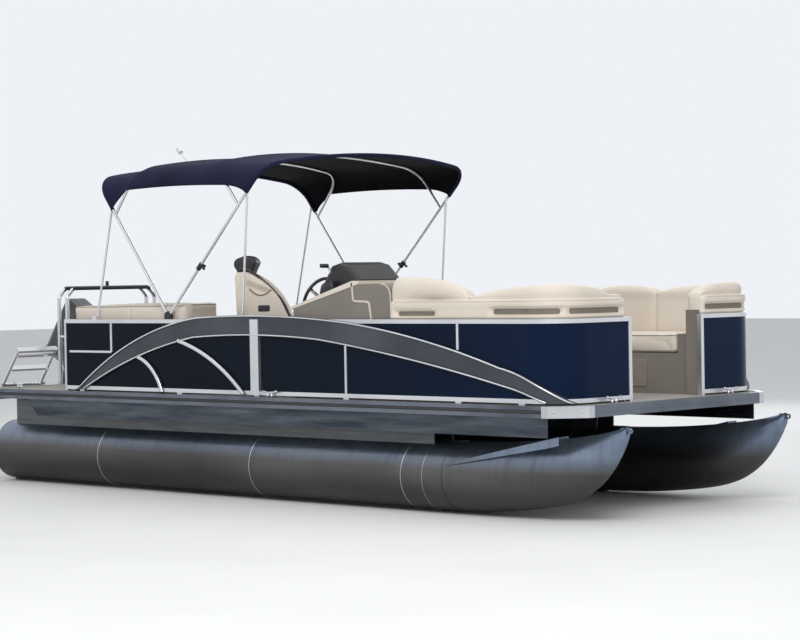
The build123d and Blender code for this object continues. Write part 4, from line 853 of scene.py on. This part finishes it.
# Gauges and controls: four round gauges in chromed bezels on a raised panel under the
# hood, a row of rocker switches, and the throttle lever in its box on the dash.
dash_fore, dash_aft = (2.282, 1.778), (2.975, 1.578)
dash_slope = (dash_fore[1] - dash_aft[1]) / (dash_aft[0] - dash_fore[0])


def on_dash(aft, y, lift):
    """A point over the dash's sloped top."""
    return Vector((at(aft), y, dash_aft[1] + (dash_aft[0] - aft) * dash_slope + lift))


cluster_low = on_dash(2.735, helm_y, 0.002)
cluster_up = Vector((0.135, 0, 0.185)).normalized()
cluster_out = Vector((-cluster_up.z, 0, cluster_up.x))


def on_cluster(across, up, out):
    """A point over the gauge panel, across to starboard and up from its low edge."""
    return cluster_low - axis_y * across + cluster_up * up + cluster_out * out


panel_place = lambda x, y, out: on_cluster(x, y + 0.100, out)
plate("gauge_panel", panel_place, 0.43, 0.165, 0.02, 0.008, black)
dial = mottled("dial_face", (0.01, 0.01, 0.012), (0.008, 0.008, 0.010),
               (0.014, 0.014, 0.016), 60.0, 1.0, Roughness=0.3, Coat_Weight=0.6)
mark = mottled("dial_marks", (0.75, 0.76, 0.72), (0.70, 0.71, 0.68),
               (0.80, 0.81, 0.77), 30.0, 1.0, Roughness=0.5)
gauge_up = 0.105
gauges = ((-0.145, 0.038), (-0.048, 0.046), (0.052, 0.046), (0.148, 0.038))
# Lines on a dial as the radii's shares from and to, and half the width
tick = (0.74, 0.88, 0.0009)
needle = (-0.15, 0.72, 0.0012)
ticks = list(np.radians(np.linspace(-130, 130, 14)))
for number, (across, radius) in enumerate(gauges):
    line = ring(on_cluster(across, gauge_up, 0.012), radius, -axis_y, cluster_up, 32)
    rope(f"gauge_bezel_{number + 1}", line, 0.0045, stainless, closed=True)
    rows = [
        ring(on_cluster(across, gauge_up, out), share * radius, -axis_y, cluster_up, 32)
        for share, out in ((1.0, 0.0095), (0.6, 0.0099), (0.05, 0.0101))
    ]
    skin(f"gauge_face_{number + 1}", rows, dial, closed=True, ends=True)
    marks = bmesh.new()
    for turn in ticks + [math.radians(-60 + 25 * number)]:
        inner, outer, wide = tick if turn in ticks else needle
        marks.faces.new([
            marks.verts.new(on_cluster(
                across + math.sin(turn) * radius * reach + math.cos(turn) * off,
                gauge_up + math.cos(turn) * radius * reach - math.sin(turn) * off, 0.0112,
            ))
            for reach, off in ((inner, -wide), (outer, -wide), (outer, wide), (inner, wide))
        ])
    solid(f"gauge_marks_{number + 1}", marks, mark, smooth=False)

for number in range(6):
    y = helm_y - 0.29 + 0.034 * number
    where = lambda x, up, out: on_dash(2.815 - up, y - x, out + 0.0005)
    plate(f"rocker_switch_{number + 1}", where, 0.024, 0.042, 0.004, 0.009, black)

throttle_aft = 2.64
throttle_y = console_side + 0.085
rows = [
    [on_dash(throttle_aft + x * grow, throttle_y + y * grow, lift)
     for x, y in rounded(0.15, 0.066, 0.025)]
    for lift, grow in ((0.0, 1.0), (0.045, 0.96), (0.085, 0.8), (0.098, 0.5))
]
skin("throttle_box", rows, black, closed=True, ends=True)
lever_foot = on_dash(throttle_aft, throttle_y, 0.075)
lever_line = (
    (0, 0.036, 0), (-0.004, 0.052, 0.02), (-0.018, 0.054, 0.09), (-0.030, 0.046, 0.135),
    (-0.034, 0.02, 0.150), (-0.034, -0.03, 0.152),
)
grip_line = (
    (-0.034, 0.034, 0.151), (-0.034, 0.028, 0.1515), (-0.034, -0.030, 0.152),
    (-0.034, -0.038, 0.152),
)
rope("throttle_lever", [lever_foot + Vector(place) for place in lever_line], 0.009,
     stainless, count=12)
rope("throttle_grip", [lever_foot + Vector(place) for place in grip_line], 0.017, black,
     count=14)

# Steering wheel: a padded black rim on three polished spokes with a black hub cap, tilted
# to the helm.
wheel_middle = Vector((at(3.040), helm_y, 1.640))
wheel_tilt = math.radians(24.0)
wheel_down = Vector((math.cos(wheel_tilt), 0, -math.sin(wheel_tilt)))
wheel_up = wheel_down.cross(axis_y)
wheel_radius = 0.175
# A spoke's stations as (radius, half width, drop), and its section as (across, thickness)
spoke_stations = (
    (0.030, 0.019, 0.020), (0.070, 0.016, 0.014), (0.120, 0.013, 0.004), (0.163, 0.015, 0.0),
)
spoke_section = ((-1, 0.0), (-0.8, -0.003), (0.8, -0.003), (1, 0.0), (0.8, 0.003), (-0.8, 0.003))
# The hub cap's turned outline as (radius, drop)
hub_outline = (
    (0.030, 0.036), (0.038, 0.030), (0.040, 0.010), (0.036, -0.004), (0.022, -0.010),
    (0.004, -0.011),
)
line = ring(wheel_middle, wheel_radius, axis_y, wheel_up, 60)
rim = rope("wheel_rim", line, 0.0138, black, "wheel", closed=True, count=16)
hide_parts("steering_wheel")
for number, turn in enumerate(np.radians((30, 150, 270))):
    outward = math.cos(turn) * axis_y + math.sin(turn) * wheel_up
    sideways = math.cos(turn) * wheel_up - math.sin(turn) * axis_y
    rows = [
        [wheel_middle + radius * outward + (drop + thick) * wheel_down + sideways * wide * share
         for share, thick in spoke_section]
        for radius, wide, drop in spoke_stations
    ]
    skin(f"wheel_spoke_{number + 1}", rows, stainless, "wheel",
         closed=True, ends=True)
rows = [
    ring(wheel_middle + drop * wheel_down, radius, axis_y, wheel_up, 32)
    for radius, drop in hub_outline
]
skin("wheel_hub", rows, black, "wheel", closed=True, ends=True)

# Seat covers: sewn marine vinyl in warm beige over foam pads, each on its moulded base.
# Every pad is blown up by cloth simulation between the seams and edges that hold it.
hide_tones = (0.68, 0.60, 0.505), (0.765, 0.685, 0.59)


def leathered(wire, give, color):
    """The grain and creases of a sewn vinyl cover."""
    crease = wire.noise(9.0, 5.0)
    hide = wire.noise(260.0, 3.0)
    give(
        Base_Color=color,
        Roughness=0.42 + 0.14 * crease,
        Normal=(hide * 0.4 + crease).bump(0.35, 0.0022),
    )


vinyl, wire, give = finish("beige_vinyl", (0.66, 0.585, 0.485), Roughness=0.5)
leathered(wire, give, wire.noise(1.8, 4.0).step(0.3, 0.7).mix(*hide_tones))
dress(vinyl, "console_dash")
piping = mottled("taupe_piping", (0.30, 0.255, 0.205), (0.26, 0.22, 0.18),
                 (0.36, 0.31, 0.255), 20.0, 3.0, Roughness=0.5)


def read(mesh, what):
    """A mesh's points ("co") or their normals ("normal") as an array."""
    flat = np.empty(len(mesh.vertices) * 3)
    mesh.vertices.foreach_get(what, flat)
    return flat.reshape(-1, 3)


def set_places(mesh, points):
    """Moves a mesh's points."""
    mesh.vertices.foreach_set("co", np.asarray(points, dtype=np.float32).ravel())
    mesh.update()


def settle(piece):
    """Turns a piece's modifiers into its mesh."""
    seen = piece.evaluated_get(bpy.context.evaluated_depsgraph_get())
    made = bpy.data.meshes.new_from_object(seen)
    piece.modifiers.clear()
    piece.data = made


def blow_up(piece, held, cap):
    """Swells a pad like foam under its cover: cloth under pressure, moved by cap at most."""
    rest = read(piece.data, "co")
    group = piece.vertex_groups.new(name="held")
    for index in np.nonzero(held > 0.01)[0]:
        group.add([int(index)], float(held[index]), "REPLACE")
    cloth = piece.modifiers.new("cloth", "CLOTH")
    cloth.settings.quality = 4
    cloth.settings.use_pressure = True
    cloth.settings.uniform_pressure_force = 4.0
    cloth.settings.effector_weights.gravity = 0.0
    cloth.settings.vertex_group_mass = "held"
    cloth.point_cache.frame_start = 1
    cloth.point_cache.frame_end = 20
    for moment in range(1, 21):
        bpy.context.scene.frame_set(moment)
    settle(piece)
    bpy.context.scene.frame_set(1)
    moved = read(piece.data, "co") - rest
    length = np.linalg.norm(moved, axis=1)
    share = np.minimum(1.0, cap / np.maximum(length, 1e-9))
    set_places(piece.data, rest + moved * share[:, None])
    piece.vertex_groups.clear()


def refine(piece):
    """Divides a piece's faces once."""
    finer = piece.modifiers.new("finer", "SUBSURF")
    finer.levels = 1
    finer.render_levels = 1
    settle(piece)


def sew(piece, seams):
    """Pulls a pad in along sewn channels, each (axis, place, lowest Z)."""
    depth = 0.010
    width = 0.011
    points = read(piece.data, "co")
    normals = read(piece.data, "normal")
    for axis, place, lowest in seams:
        near = np.exp(-(((points[:, axis] - place) / width) ** 2)) * (points[:, 2] > lowest)
        points = points - normals * (depth * near)[:, None]
    set_places(piece.data, points)


def stand_for(piece, node):
    """Gives a finished pad the vinyl and hides its CAD block."""
    coat(piece, vinyl)
    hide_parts(node)


def upholster(name, node, body, voxel, cap, seams=(), eased=6):
    """A foam pad for a CAD block: remeshed, rounded, blown up, subdivided and sewn."""
    low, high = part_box(node)
    piece = solid(name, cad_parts[node].data.copy(), vinyl, body)
    grain = piece.modifiers.new("remesh", "REMESH")
    grain.mode = "VOXEL"
    grain.voxel_size = voxel
    ease = piece.modifiers.new("ease", "SMOOTH")
    ease.iterations = eased
    ease.factor = 0.5
    settle(piece)
    points = read(piece.data, "co")
    held = np.clip(1.0 - (points[:, 2] - low.z) / 0.03, 0.0, 1.0)
    for axis, place, lowest in seams:
        near = (np.abs(points[:, axis] - place) < voxel * 0.6) & (points[:, 2] > lowest)
        held = np.maximum(held, 0.9 * near)
    blow_up(piece, held, cap)
    refine(piece)
    sew(piece, seams)
    margin = 0.006
    points = np.clip(read(piece.data, "co"), np.array(low) - margin, np.array(high) + margin)
    points[:, 2] = np.maximum(points[:, 2], low.z)
    set_places(piece.data, points)
    stand_for(piece, node)
    return piece


def surface(piece):
    """A piece's faces, ready to be asked for their nearest point."""
    mesh = piece.data
    corners = [face.vertices for face in mesh.polygons]
    return BVHTree.FromPolygons([vertex.co for vertex in mesh.vertices], corners)


def welt(name, piece, corners, height, body="hull"):
    """Piping round a pad: a cord through corners (aft, y) at a height, drawn onto its cover."""
    cover = surface(piece)
    line = []
    for (aft, y), (next_aft, next_y) in zip(corners, corners[1:]):
        count = max(2, int(math.hypot(next_aft - aft, next_y - y) / 0.02))
        for share in np.linspace(0, 1, count, endpoint=False):
            plan = at(aft + (next_aft - aft) * share), y + (next_y - y) * share
            place, normal, _, _ = cover.find_nearest(Vector((*plan, height)))
            if not line or (place - line[-1]).length > 0.006:
                line.append(place + normal * 0.0012)
    rope(name, line, 0.0042, piping, body, count=6)


# Bow lounges: a hinged seat pad on each moulded base. The back follows the fence round
# the bow corner under a cap with recessed hand slots, and swells above it in two humps.
for name, side in sides:
    lid = f"lid_{name}"
    seam = (0, at(1.15), 1.28)
    pad = upholster(f"lounge_cushion_{name}", f"lounge_seat_{name}", lid, 0.018, 0.016, (seam,))
    edge = [(aft, side * y) for aft, y in (
        (0.462, 1.05), (0.462, 0.557), (1.838, 0.557), (1.838, 1.05))]
    for level, height in (("upper", 1.310), ("lower", 1.188)):
        welt(f"lounge_piping_{level}_{name}", pad, edge, height, lid)

# Painted shade for recesses: the hand slots' dark sheets and the dark cord under the chair pockets'
# lips
painted_recess_shade = mottled("painted_recess_shade", (0.20, 0.17, 0.14), (0.16, 0.135, 0.11),
                     (0.24, 0.205, 0.17), 15.0, 3.0, Roughness=0.7)
# Height of the humps' tops at distances walked along the fence from the lounge's aft end
hump_tops = {
    "starboard": (
        (-0.02, 1.806), (0.10, 1.812), (0.30, 1.803), (0.50, 1.778), (0.65, 1.745),
        (0.76, 1.690), (0.805, 1.640), (0.85, 1.652), (1.00, 1.682), (1.36, 1.722),
        (1.66, 1.733), (1.95, 1.722), (2.10, 1.700), (2.20, 1.655), (2.26, 1.628),
        (2.40, 1.624),
    ),
    "port": (
        (-0.02, 1.655), (0.10, 1.670), (0.40, 1.700), (0.65, 1.690), (0.76, 1.665),
        (0.805, 1.636), (0.85, 1.655), (1.00, 1.680), (1.36, 1.705), (1.66, 1.718),
        (1.95, 1.722), (2.15, 1.712), (2.28, 1.685), (2.34, 1.650), (2.40, 1.640),
    ),
}
# Hand slots: from and to, walked along the fence, with their lowest and highest Z
hand_slots = (
    (0.050, 0.495, 1.492, 1.550), (1.02, 1.712, 1.500, 1.568), (1.718, 2.345, 1.500, 1.568),
)
back_foot = 1.171
back_middle = 0.100
cap_bend = 1.56
hump_foot = 1.632
# Seams across the backs, walked along the fence
back_seams = (0.805, 1.43)


def fence_walk(side, aft, end_y, spacing):
    """Plan stations on the fence's outside, from a place on a side round the bow corner to a
    place on the front: (walked, point, outward direction)."""
    straight = aft - fence_front - fence_bow_radius
    turn_end = fence_half - fence_bow_radius
    stations = [
        (walked, Vector((at(aft - walked), side * fence_half)), Vector((0, side)))
        for walked in np.linspace(0, straight, max(2, int(straight / spacing) + 1))
    ]
    centre = Vector((at(fence_front + fence_bow_radius), side * turn_end))
    count = int(fence_bow_radius * 1.57 / spacing) + 1
    for angle in np.linspace(0, math.pi / 2, count)[1:]:
        out = Vector((math.sin(angle), side * math.cos(angle)))
        walked = straight + angle * fence_bow_radius
        stations.append((walked, centre + fence_bow_radius * out, out))
    turned = straight + fence_bow_radius * math.pi / 2
    ahead = turn_end - end_y
    for walked in np.linspace(0, ahead, max(2, int(abs(ahead) / spacing) + 1))[1:]:
        point = Vector((at(fence_front), side * (turn_end - walked)))
        stations.append((turned + walked, point, Vector((1, 0))))
    return stations


def back_profile(lows, highs, deep, hollow, top):
    """A back's section from its foot outside over the top to its foot inside, as (distance
    in from the fence, height, how firmly the cover is held there)."""
    rise = max(0.012, top - hump_foot)
    hump = (
        (0.040 + 0.010 * hollow, 0.10 * rise + 0.002, 0.3), (0.036, 0.35 * rise, 0),
        (0.040, 0.62 * rise, 0), (0.054, 0.85 * rise, 0), (0.078, 0.97 * rise, 0),
        (0.104, top - hump_foot, 0), (0.132, 0.95 * rise, 0), (0.155, 0.76 * rise, 0),
        (0.168, 0.45 * rise, 0), (0.172, 0.0, 0),
    )
    return [
        (0.050, back_foot, 1), (0.048, 1.40, 1), (0.046, 1.484, 1), (0.012, 1.487, 1),
        (0.010, lows, 1), (0.010 + deep, lows + 0.004, 1), (0.010 + deep, highs - 0.004, 1),
        (0.010, highs, 1), (0.0075, 1.580, 0.6), (0.009, 1.604, 0.5), (0.017, 1.617, 0.6),
        (0.034 + 0.034 * hollow, 1.621, 1), (0.044 + 0.048 * hollow, 1.628, 1),
        *((inset, hump_foot + lift, hold) for inset, lift, hold in hump),
        (0.166, 1.585, 1), (0.172, 1.550, 0), (0.174, 1.470, 0), (0.174, 1.390, 0),
        (0.171, 1.310, 0), (0.166, 1.240, 0.4), (0.155, back_foot, 1), (0.100, back_foot, 1),
    ]


for name, side in sides:
    stations = fence_walk(side, aft=1.850, end_y=0.470, spacing=0.022)
    last = stations[-1][0]
    rows = []
    held = []
    for walked, point, out in stations:
        nearby = walked + np.linspace(-0.03, 0.03, 5)
        top = float(np.interp(nearby, *zip(*hump_tops[name])).mean())
        end = max(0.0, min(1.0, walked / 0.05, (last - walked) / 0.05))
        end = math.sqrt(1 - (1 - end) ** 2)
        deep = 0.0
        lows, highs = 1.500, 1.555
        for start, stop, low, high in hand_slots:
            if start <= walked <= stop:
                deep = 0.034 * min(1.0, (walked - start) / 0.03, (stop - walked) / 0.03)
                lows, highs = low, high
        hollow = max(0.0, 1 - abs(walked - 0.40) / 0.33) if name == "starboard" else 0.0
        row = []
        for inset, height, hold in back_profile(lows, highs, deep, hollow, top):
            inset = back_middle + (inset - back_middle) * (0.80 + 0.20 * end)
            if height > cap_bend:
                height = cap_bend + (height - cap_bend) * (0.72 + 0.28 * end)
            row.append((*(point - out * inset), height))
            held.append(hold)
        rows.append(row)
    back = skin(f"lounge_bolster_{name}", rows, vinyl, closed=True, ends=True)
    blow_up(back, np.array(held), 0.007)
    refine(back)
    points = read(back.data, "co")
    pull = np.zeros(len(points))
    for cut in back_seams:
        _, there, out = min(stations, key=lambda station: abs(station[0] - cut))
        off = points[:, :2] - np.array(there)
        far = off @ np.array((-out.y, out.x))
        inner = off @ np.array(out)
        facing = np.clip((-inner - 0.09) / 0.05, 0, 1) * (points[:, 2] > 1.185)
        if cut == back_seams[0]:
            facing = np.maximum(facing, points[:, 2] > 1.62)
        near = np.exp(-((far / 0.009) ** 2)) + 0.6 * np.exp(-((far / 0.035) ** 2))
        pull = np.maximum(pull, near * facing)
    set_places(back.data, points - read(back.data, "normal") * (0.013 * pull)[:, None])
    stand_for(back, f"lounge_back_{name}")

    # Dark sheets in the hand slots as painted shade, a welt along the cap's top edge, and a snap
    for number, (start, stop, low, high) in enumerate(hand_slots):
        rows = []
        for walked, point, out in stations:
            if start + 0.02 <= walked <= stop - 0.02:
                ends = min(1.0, (walked - start - 0.015) / 0.03, (stop - 0.015 - walked) / 0.03)
                tall = (high - low - 0.012) * (0.55 + 0.45 * ends) / 2
                place = point - out * 0.0375
                rows.append([
                    (*place, (high + low) / 2 + tall * share) for share in (-1, -0.4, 0.4, 1)
                ])
        skin(f"hand_slot_{name}_{number + 1}", rows, painted_recess_shade)
    line = [
        (*(point - out * 0.0125), 1.6125)
        for walked, point, out in stations if 0.05 < walked < last - 0.05
    ]
    rope(f"cap_welt_{name}", line, 0.0038, vinyl, count=6)
    snap = (at(1.369), side * (fence_half - 0.0085), 1.556)
    studs(f"cap_snap_{name}", [snap], 0.010, 0.006, axis_y * side, lamp_white)

# Aft lounge and port couch: the same pads along the starboard side and stern, and along
# the port side, square topped and sewn across into seats.
seat_piping = (("upper", 1.292), ("lower", 1.186))
back_top = 1.592
aft_edge = ((4.312, -1.03), (4.312, -0.626), (5.205, -0.626), (5.205, 0.418), (5.65, 0.418))
couch_edge = ((2.462, 1.03), (2.462, 0.572), (4.938, 0.572), (4.938, 1.03))
# Pads as (name, node, swell, seams, piping as (name, corners, height))
pads = (
    ("aft_cushion", "aft_seat", 0.014, ((0, at(4.95), 1.26), (1, -0.62, 1.26), (1, -0.10, 1.26)),
     [(f"aft_seat_piping_{level}", aft_edge, height) for level, height in seat_piping]),
    ("aft_bolster", "aft_back", 0.012,
     ((0, at(4.55), 1.2), (0, at(5.02), 1.2), (1, -0.62, 1.2), (1, -0.10, 1.2)),
     (("aft_back_piping_inner", ((4.312, -1.055), (5.655, -1.055), (5.655, 0.418)), back_top),
      ("aft_back_piping_outer", ((4.312, -1.162), (5.783, -1.162), (5.783, 0.418)), back_top))),
    ("couch_cushion", "couch_seat", 0.014, ((0, at(3.3), 1.26), (0, at(4.1), 1.26)),
     [(f"couch_piping_{level}", couch_edge, height) for level, height in seat_piping]),
    ("couch_bolster", "couch_back", 0.012, ((0, at(3.3), 1.2), (0, at(4.1), 1.2)),
     (("couch_back_piping_inner", ((2.462, 1.055), (4.938, 1.055)), back_top),
      ("couch_back_piping_outer", ((2.462, 1.162), (4.938, 1.162)), back_top))),
)
for name, node, swell, seams, cords in pads:
    pad = upholster(name, node, "hull", 0.020, swell, seams)
    for cord, corners, height in cords:
        welt(cord, pad, corners, height)

# Helm chair: a bucket seat on a swivel pedestal, parked turned to port. Wings and seat are
# beige, the lining and headrest black. Each wing has a pocket with a dark cord along its
# lower lip as painted shadow, and a vent outside.
chair_turn = math.radians(40.0)
chair_middle = Vector((at(3.645), console_side + 0.450, deck_top))
chair_ahead = Vector((math.cos(chair_turn), math.sin(chair_turn), 0))
chair_left = Vector((-math.sin(chair_turn), math.cos(chair_turn), 0))
chair_vinyl, wire, give = finish("chair_vinyl", (0.66, 0.585, 0.485), Roughness=0.5)
x = wire.along("X") - chair_middle.x
y = wire.along("Y") - chair_middle.y
z = wire.along("Z") - deck_top
leftward = wire.math("ABSOLUTE", x * chair_left.x + y * chair_left.y)
lining = (1.0 - leftward.step(0.181, 0.184)) * z.step(0.600, 0.603)
lining = wire.math("MAXIMUM", lining, z.step(1.012, 1.016))
tan = wire.noise(1.8, 4.0).step(0.3, 0.7).mix(*hide_tones)
leathered(wire, give, lining.mix(tan, (0.016, 0.016, 0.018)))


def pocket_lip(forward):
    """Height of the pocket's lower lip over the deck, at a distance ahead of the pedestal."""
    return 0.824 + 6.0 * (forward + 0.087) ** 2


chair = upholster("helm_chair", "helm_seat", "chair", 0.0125, 0.006, eased=9)
pocket_depth = 0.034
points = read(chair.data, "co")
local = points - np.array(chair_middle)
forward = local @ np.array(chair_ahead)
leftward = local @ np.array(chair_left)
height = local[:, 2]
pocket = np.clip((height - pocket_lip(forward)) / 0.007, 0, 1)
pocket *= np.clip((0.930 - 0.45 * (forward + 0.14) - height) / 0.05, 0, 1)
pocket *= np.clip((forward + 0.215) / 0.02, 0, 1) * np.clip((0.012 - forward) / 0.02, 0, 1)
pocket *= np.abs(leftward) > 0.225
inward = -np.sign(leftward)[:, None] * np.array(chair_left)
set_places(chair.data, points + inward * (pocket_depth * pocket)[:, None])
coat(chair, chair_vinyl)
cover = surface(chair)
for name, side in sides:
    outward = chair_left * side
    where = lambda x, up, out: (
        chair_middle + chair_ahead * x + outward * (0.2475 + out) + axis_z * up
    )
    vent_place = lambda x, up, out: where(x - 0.062, 0.713 + up, out)
    plate(f"chair_vent_{name}", vent_place, 0.096, 0.052, 0.010, 0.0125, black,
          "chair")
    # A dark cord along the pocket's lower lip: painted shadow under the lip
    line = [
        cover.find_nearest(where(x, pocket_lip(x) - 0.002, 0.008))[0]
        for x in np.linspace(-0.180, 0.004, 24)
    ]
    rope(f"chair_pocket_shadow_cord_{name}", line, 0.0062, painted_recess_shade, "chair", count=8)

# Outboard motor: a gloss black cowl on a painted cast leg, parked trimmed up. The cowl has
# a satin parting band with catches, louvred air intakes and a lifting grip.
gloss_black, wire, give = finish(
    "motor_black", (0.012, 0.012, 0.014), Roughness=0.25, Coat_Weight=0.4
)
give(
    Base_Color=wire.noise(2.0, 3.0).mix((0.010, 0.010, 0.012), (0.020, 0.020, 0.023)),
    Roughness=0.2 + 0.15 * wire.noise(20.0, 3.0),
)
dress(gloss_black, "outboard_clamp", "outboard_swivel", "outboard_leg", "outboard_cowl")
satin_grey = mottled("satin_grey", (0.16, 0.165, 0.17), (0.13, 0.135, 0.14),
                     (0.20, 0.205, 0.21), 30.0, 3.0, Roughness=0.4, Metallic=0.4)
motor_trim = math.radians(30.0)
tilt_axle = Vector((stern - 0.160, 0, 0.860))
cowl_foot = 0.084
cowl_lean = math.tan(math.radians(4.0))


def on_motor(behind, across, up):
    """A point on the trimmed motor: behind the tilt axle, to port, and above the axle."""
    back = math.cos(motor_trim) * behind - math.sin(motor_trim) * up
    rise = math.sin(motor_trim) * behind + math.cos(motor_trim) * up
    return tilt_axle + Vector((-back, across, rise))


def on_cowl(behind, up, side, out):
    """A point over the cowl's flat side, which leans in."""
    half = 0.165 - cowl_lean * max(0.0, up - cowl_foot)
    return on_motor(behind, side * (half + out), up)


# The band's section as (distance out, height)
band_section = (
    (-0.001, 0.066), (0.0035, 0.069), (0.0045, 0.080), (0.0035, 0.094), (-0.002, 0.097),
)
rows = [
    [on_motor(0.270 + x, y, up)
     for x, y in rounded(0.580 + 2 * proud, 0.330 + 2 * proud, 0.090 + proud, 10)]
    for proud, up in band_section
]
skin("cowl_band", rows, satin_grey, "motor", closed=True)
for name, side in sides:
    for number in range(6):
        level = 0.455 + 0.019 * number
        where = lambda x, y, out: on_cowl(0.350 + x, level + y, side, out)
        plate(f"cowl_louvre_{name}_{number + 1}", where, 0.150 - 0.008 * number, 0.010,
              0.004, 0.005, satin_grey, "motor")
    where = lambda x, y, out: on_cowl(0.250 + x, 0.24 + 0.10 * x + y, side, out)
    plate(f"cowl_line_{name}", where, 0.340, 0.014, 0.006, 0.003, satin_grey, "motor")
    for number, behind in enumerate((0.150, 0.420)):
        where = lambda x, y, out: on_motor(behind + x, side * (0.1685 + out), 0.086 + y)
        plate(f"cowl_catch_{name}_{number + 1}", where, 0.046, 0.060, 0.008, 0.009, black,
              "motor")
grip_height = 0.30
rear = 0.560 - cowl_lean * (grip_height - cowl_foot)
grip_line = (
    (-0.062, -0.006), (-0.060, 0.014), (-0.050, 0.024), (0.0, 0.027), (0.050, 0.024),
    (0.060, 0.014), (0.062, -0.006),
)
line = [on_motor(rear + out, y, grip_height) for y, out in grip_line]
rope("cowl_grip", line, 0.008, black, "motor", count=12)
